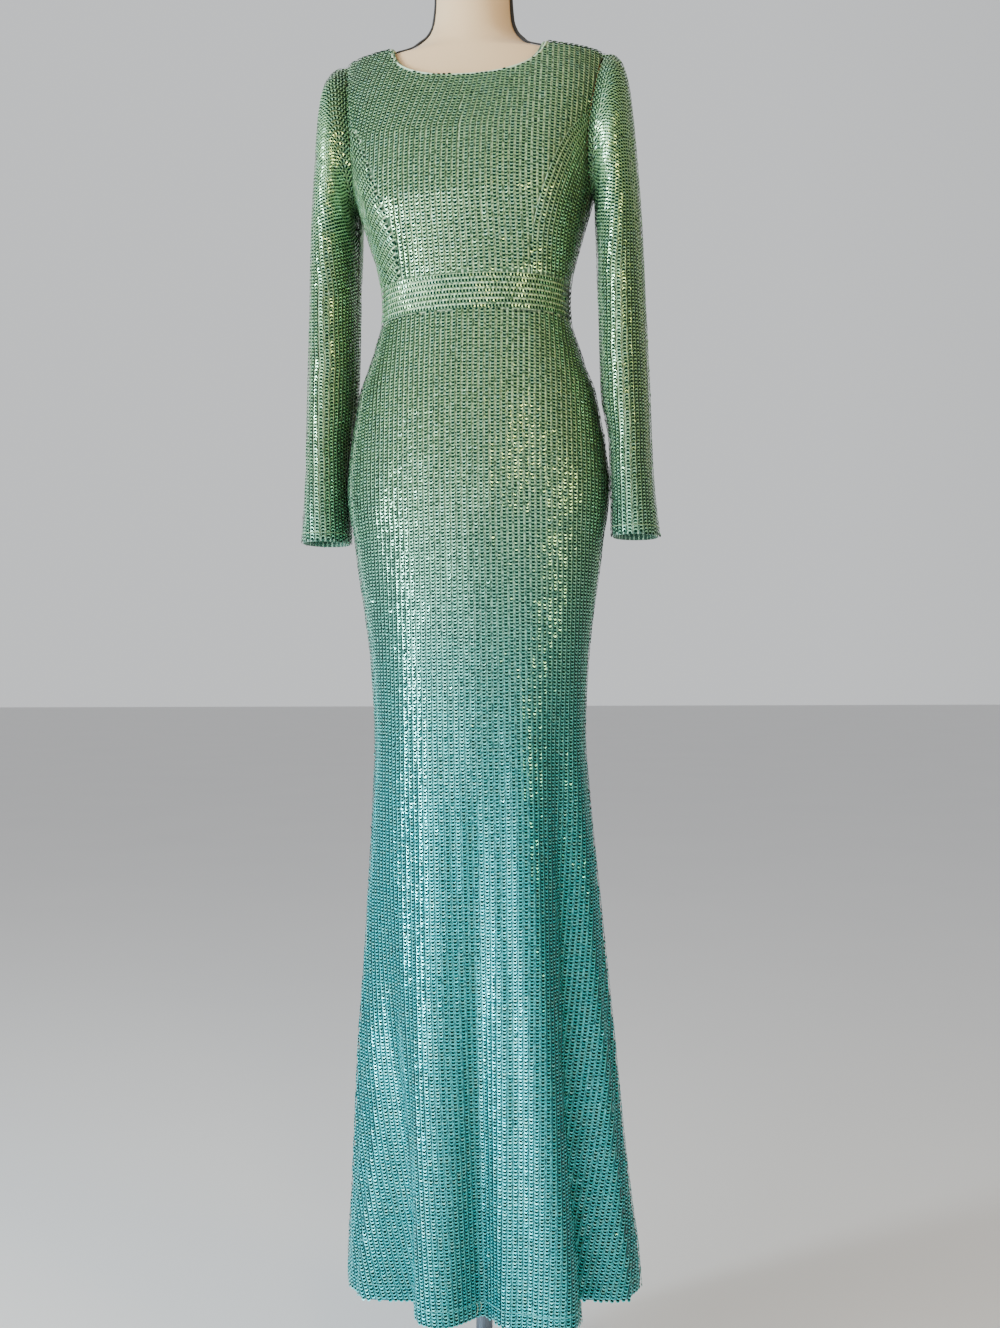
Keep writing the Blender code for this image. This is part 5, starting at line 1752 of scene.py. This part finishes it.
@dataclass
class Studio:
    """Camera, lights and pale floor, in air that is pale behind the gown and to the wearer's right.

    The air turns dim brown the opposite way.
    """

    azimuth: float = 10.0
    distance: float = 1.8
    eye: float = 0.952
    aside: float = 0.0264
    roll: float = -0.457
    lens: float = 38.55
    bright_way: Tuple[float, float, float] = (-0.82, 0.50, 0.0)
    bright_air: Colour = (0.86, 0.88, 0.90, 1.0)
    dim_air: Colour = (0.10, 0.078, 0.05, 1.0)
    strength: float = 0.90
    floor_half: float = 30.0
    floor_drop: float = 0.0005

    def camera(self) -> None:
        """A level camera before the gown, a little to the wearer's left."""
        data = bpy.data.cameras.new("camera")
        data.lens, data.sensor_width = self.lens, 36.0
        thing = bpy.data.objects.new("camera", data)
        turn = math.radians(self.azimuth)
        right = np.array([math.cos(turn), math.sin(turn), 0])
        ahead = np.array([-math.sin(turn), math.cos(turn), 0])
        place = np.array([0, 0, self.eye]) - ahead * self.distance + right * self.aside
        thing.location = place
        thing.rotation_euler = (math.pi / 2, 0, turn)  # level, before the roll
        thing.rotation_euler = (
            thing.rotation_euler.to_matrix() @ Matrix.Rotation(math.radians(self.roll), 3, "Z")
        ).to_euler()
        bpy.context.scene.collection.objects.link(thing)
        bpy.context.scene.camera = thing

    def lamp(self, name: str, place: Tuple, aim: Tuple, size: Tuple, power: float, colour: Tuple) -> None:
        """A soft rectangular light at a place, facing an aim point.

        Args:
            name: Its name.
            place: Where it stands.
            aim: What it faces.
            size: Width and height.
            power: Watts.
            colour: Its colour.
        """
        data = bpy.data.lights.new(name, "AREA")
        data.shape, data.size, data.size_y = "RECTANGLE", *size
        data.energy, data.color = power, colour
        thing = bpy.data.objects.new(name, data)
        thing.location = place
        thing.rotation_euler = (Vector(aim) - Vector(place)).to_track_quat("-Z", "Y").to_euler()
        bpy.context.scene.collection.objects.link(thing)

    def build(self) -> None:
        """Makes the studio."""
        self.camera()
        self.lamp("window", (-2.28, -1.78, 1.35), (0, 0, 1.0), (0.36, 1.3), 80, (0.84, 0.95, 1.0))
        self.lamp("wide_front", (-2.0, -2.9, 1.3), (0, 0, 1.0), (3.2, 2.8), 132, (0.93, 0.98, 1.0))
        self.lamp("warm_side", (2.0, -1.2, 1.75), (0, 0, 1.20), (0.6, 0.6), 19, (1.0, 0.74, 0.34))
        self.lamp("low_cool", (-2.1, -1.9, 0.4), (0, 0, 0.35), (1.0, 0.7), 18, (0.50, 0.88, 1.0))
        self.lamp("warm_high", (0.80, -2.0, 2.15), (0, 0, 1.35), (0.3, 0.3), 9, (1.0, 0.66, 0.27))
        world = bpy.data.worlds.new("surroundings")
        world.use_nodes = True
        nodes = world.node_tree.nodes
        toward = nodes.new("ShaderNodeVectorMath")
        toward.operation = "DOT_PRODUCT"
        toward.inputs[1].default_value = self.bright_way
        turn = nodes.new("ShaderNodeMapRange")
        mix = nodes.new("ShaderNodeMix")
        mix.data_type = "RGBA"
        for name, value in (("From Min", -0.95), ("From Max", 0.45)):
            turn.inputs[name].default_value = value
        mix.inputs[6].default_value, mix.inputs[7].default_value = self.dim_air, self.bright_air
        for source, target in (
            (nodes.new("ShaderNodeTexCoord").outputs["Generated"], toward.inputs[0]),
            (toward.outputs["Value"], turn.inputs["Value"]),
            (turn.outputs[0], mix.inputs[0]),
            (mix.outputs[2], nodes["Background"].inputs["Color"]),
        ):
            world.node_tree.links.new(source, target)
        nodes["Background"].inputs["Strength"].default_value = self.strength
        bpy.context.scene.world = world
        size, z = self.floor_half, -self.floor_drop
        corners = np.array([[-size, -size, z], [size, -size, z], [size, size, z], [-size, size, z]])
        floor = mesh_object("floor", corners, np.array([[0, 1, 2, 3]]))
        floor.data.materials.append(FloorFinish().material())


def main() -> None:
    """Builds the gown, its form and the studio, and reports each piece."""
    logging.basicConfig(level=logging.INFO, format="%(name)s %(message)s")
    form = GownForm()
    Gown(
        form,
        net=NetFinish().material(),
        foil=SequinFinish().material(),
        coil=MetalFinish("zip_coil", (0.30, 0.55, 0.42, 1.0), (0.40, 0.62, 0.50, 1.0), 0.1, 0.4).material(),
        # The hem and cuff threads are one cotton, aqua as painted cool light below and sage as painted warm
        # light above.
        hem_cotton=KnitFinish("hem_cotton", (0.10, 0.52, 0.52, 1.0), (0.06, 0.40, 0.42, 1.0)).material(),
        cuff_cotton=KnitFinish("cuff_cotton", (0.26, 0.44, 0.24, 1.0), (0.18, 0.34, 0.18, 1.0)).material(),
        edging=KnitFinish("edging", (0.58, 0.76, 0.56, 1.0), (0.44, 0.64, 0.46, 1.0)).material(),
    ).build()
    jersey = KnitFinish("form_jersey", (0.82, 0.60, 0.36, 1.0), (0.72, 0.50, 0.28, 1.0)).material()
    tape = KnitFinish("piping", (0.012, 0.012, 0.013, 1.0), (0.03, 0.03, 0.032, 1.0), sheen=0.1).material()
    DressForm(form, jersey, tape).build()
    steel = MetalFinish("steel", (0.16, 0.20, 0.25, 1.0), (0.24, 0.28, 0.33, 1.0)).material()
    zip_metal = MetalFinish("zip_metal", (0.22, 0.50, 0.38, 1.0), (0.35, 0.60, 0.50, 1.0), 0.6).material()
    zip_tape = KnitFinish("zip_tape", (0.12, 0.36, 0.26, 1.0), (0.08, 0.27, 0.19, 1.0)).material()
    for node, material in (
        ("stand_base", steel), ("stand_socket", steel), ("stand_pole", steel), ("form_neck_cap", jersey),
        ("zip_slider", zip_metal), ("zip_pull", zip_metal), ("zip_tape", zip_tape),
    ):
        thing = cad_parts[node]
        thing.data.materials.clear()
        thing.data.materials.append(material)
        LOG.info("%s: kept from the frame", node)
    Studio().build()


if __name__ == "__main__":
    main()
    bpy.context.view_layer.update()
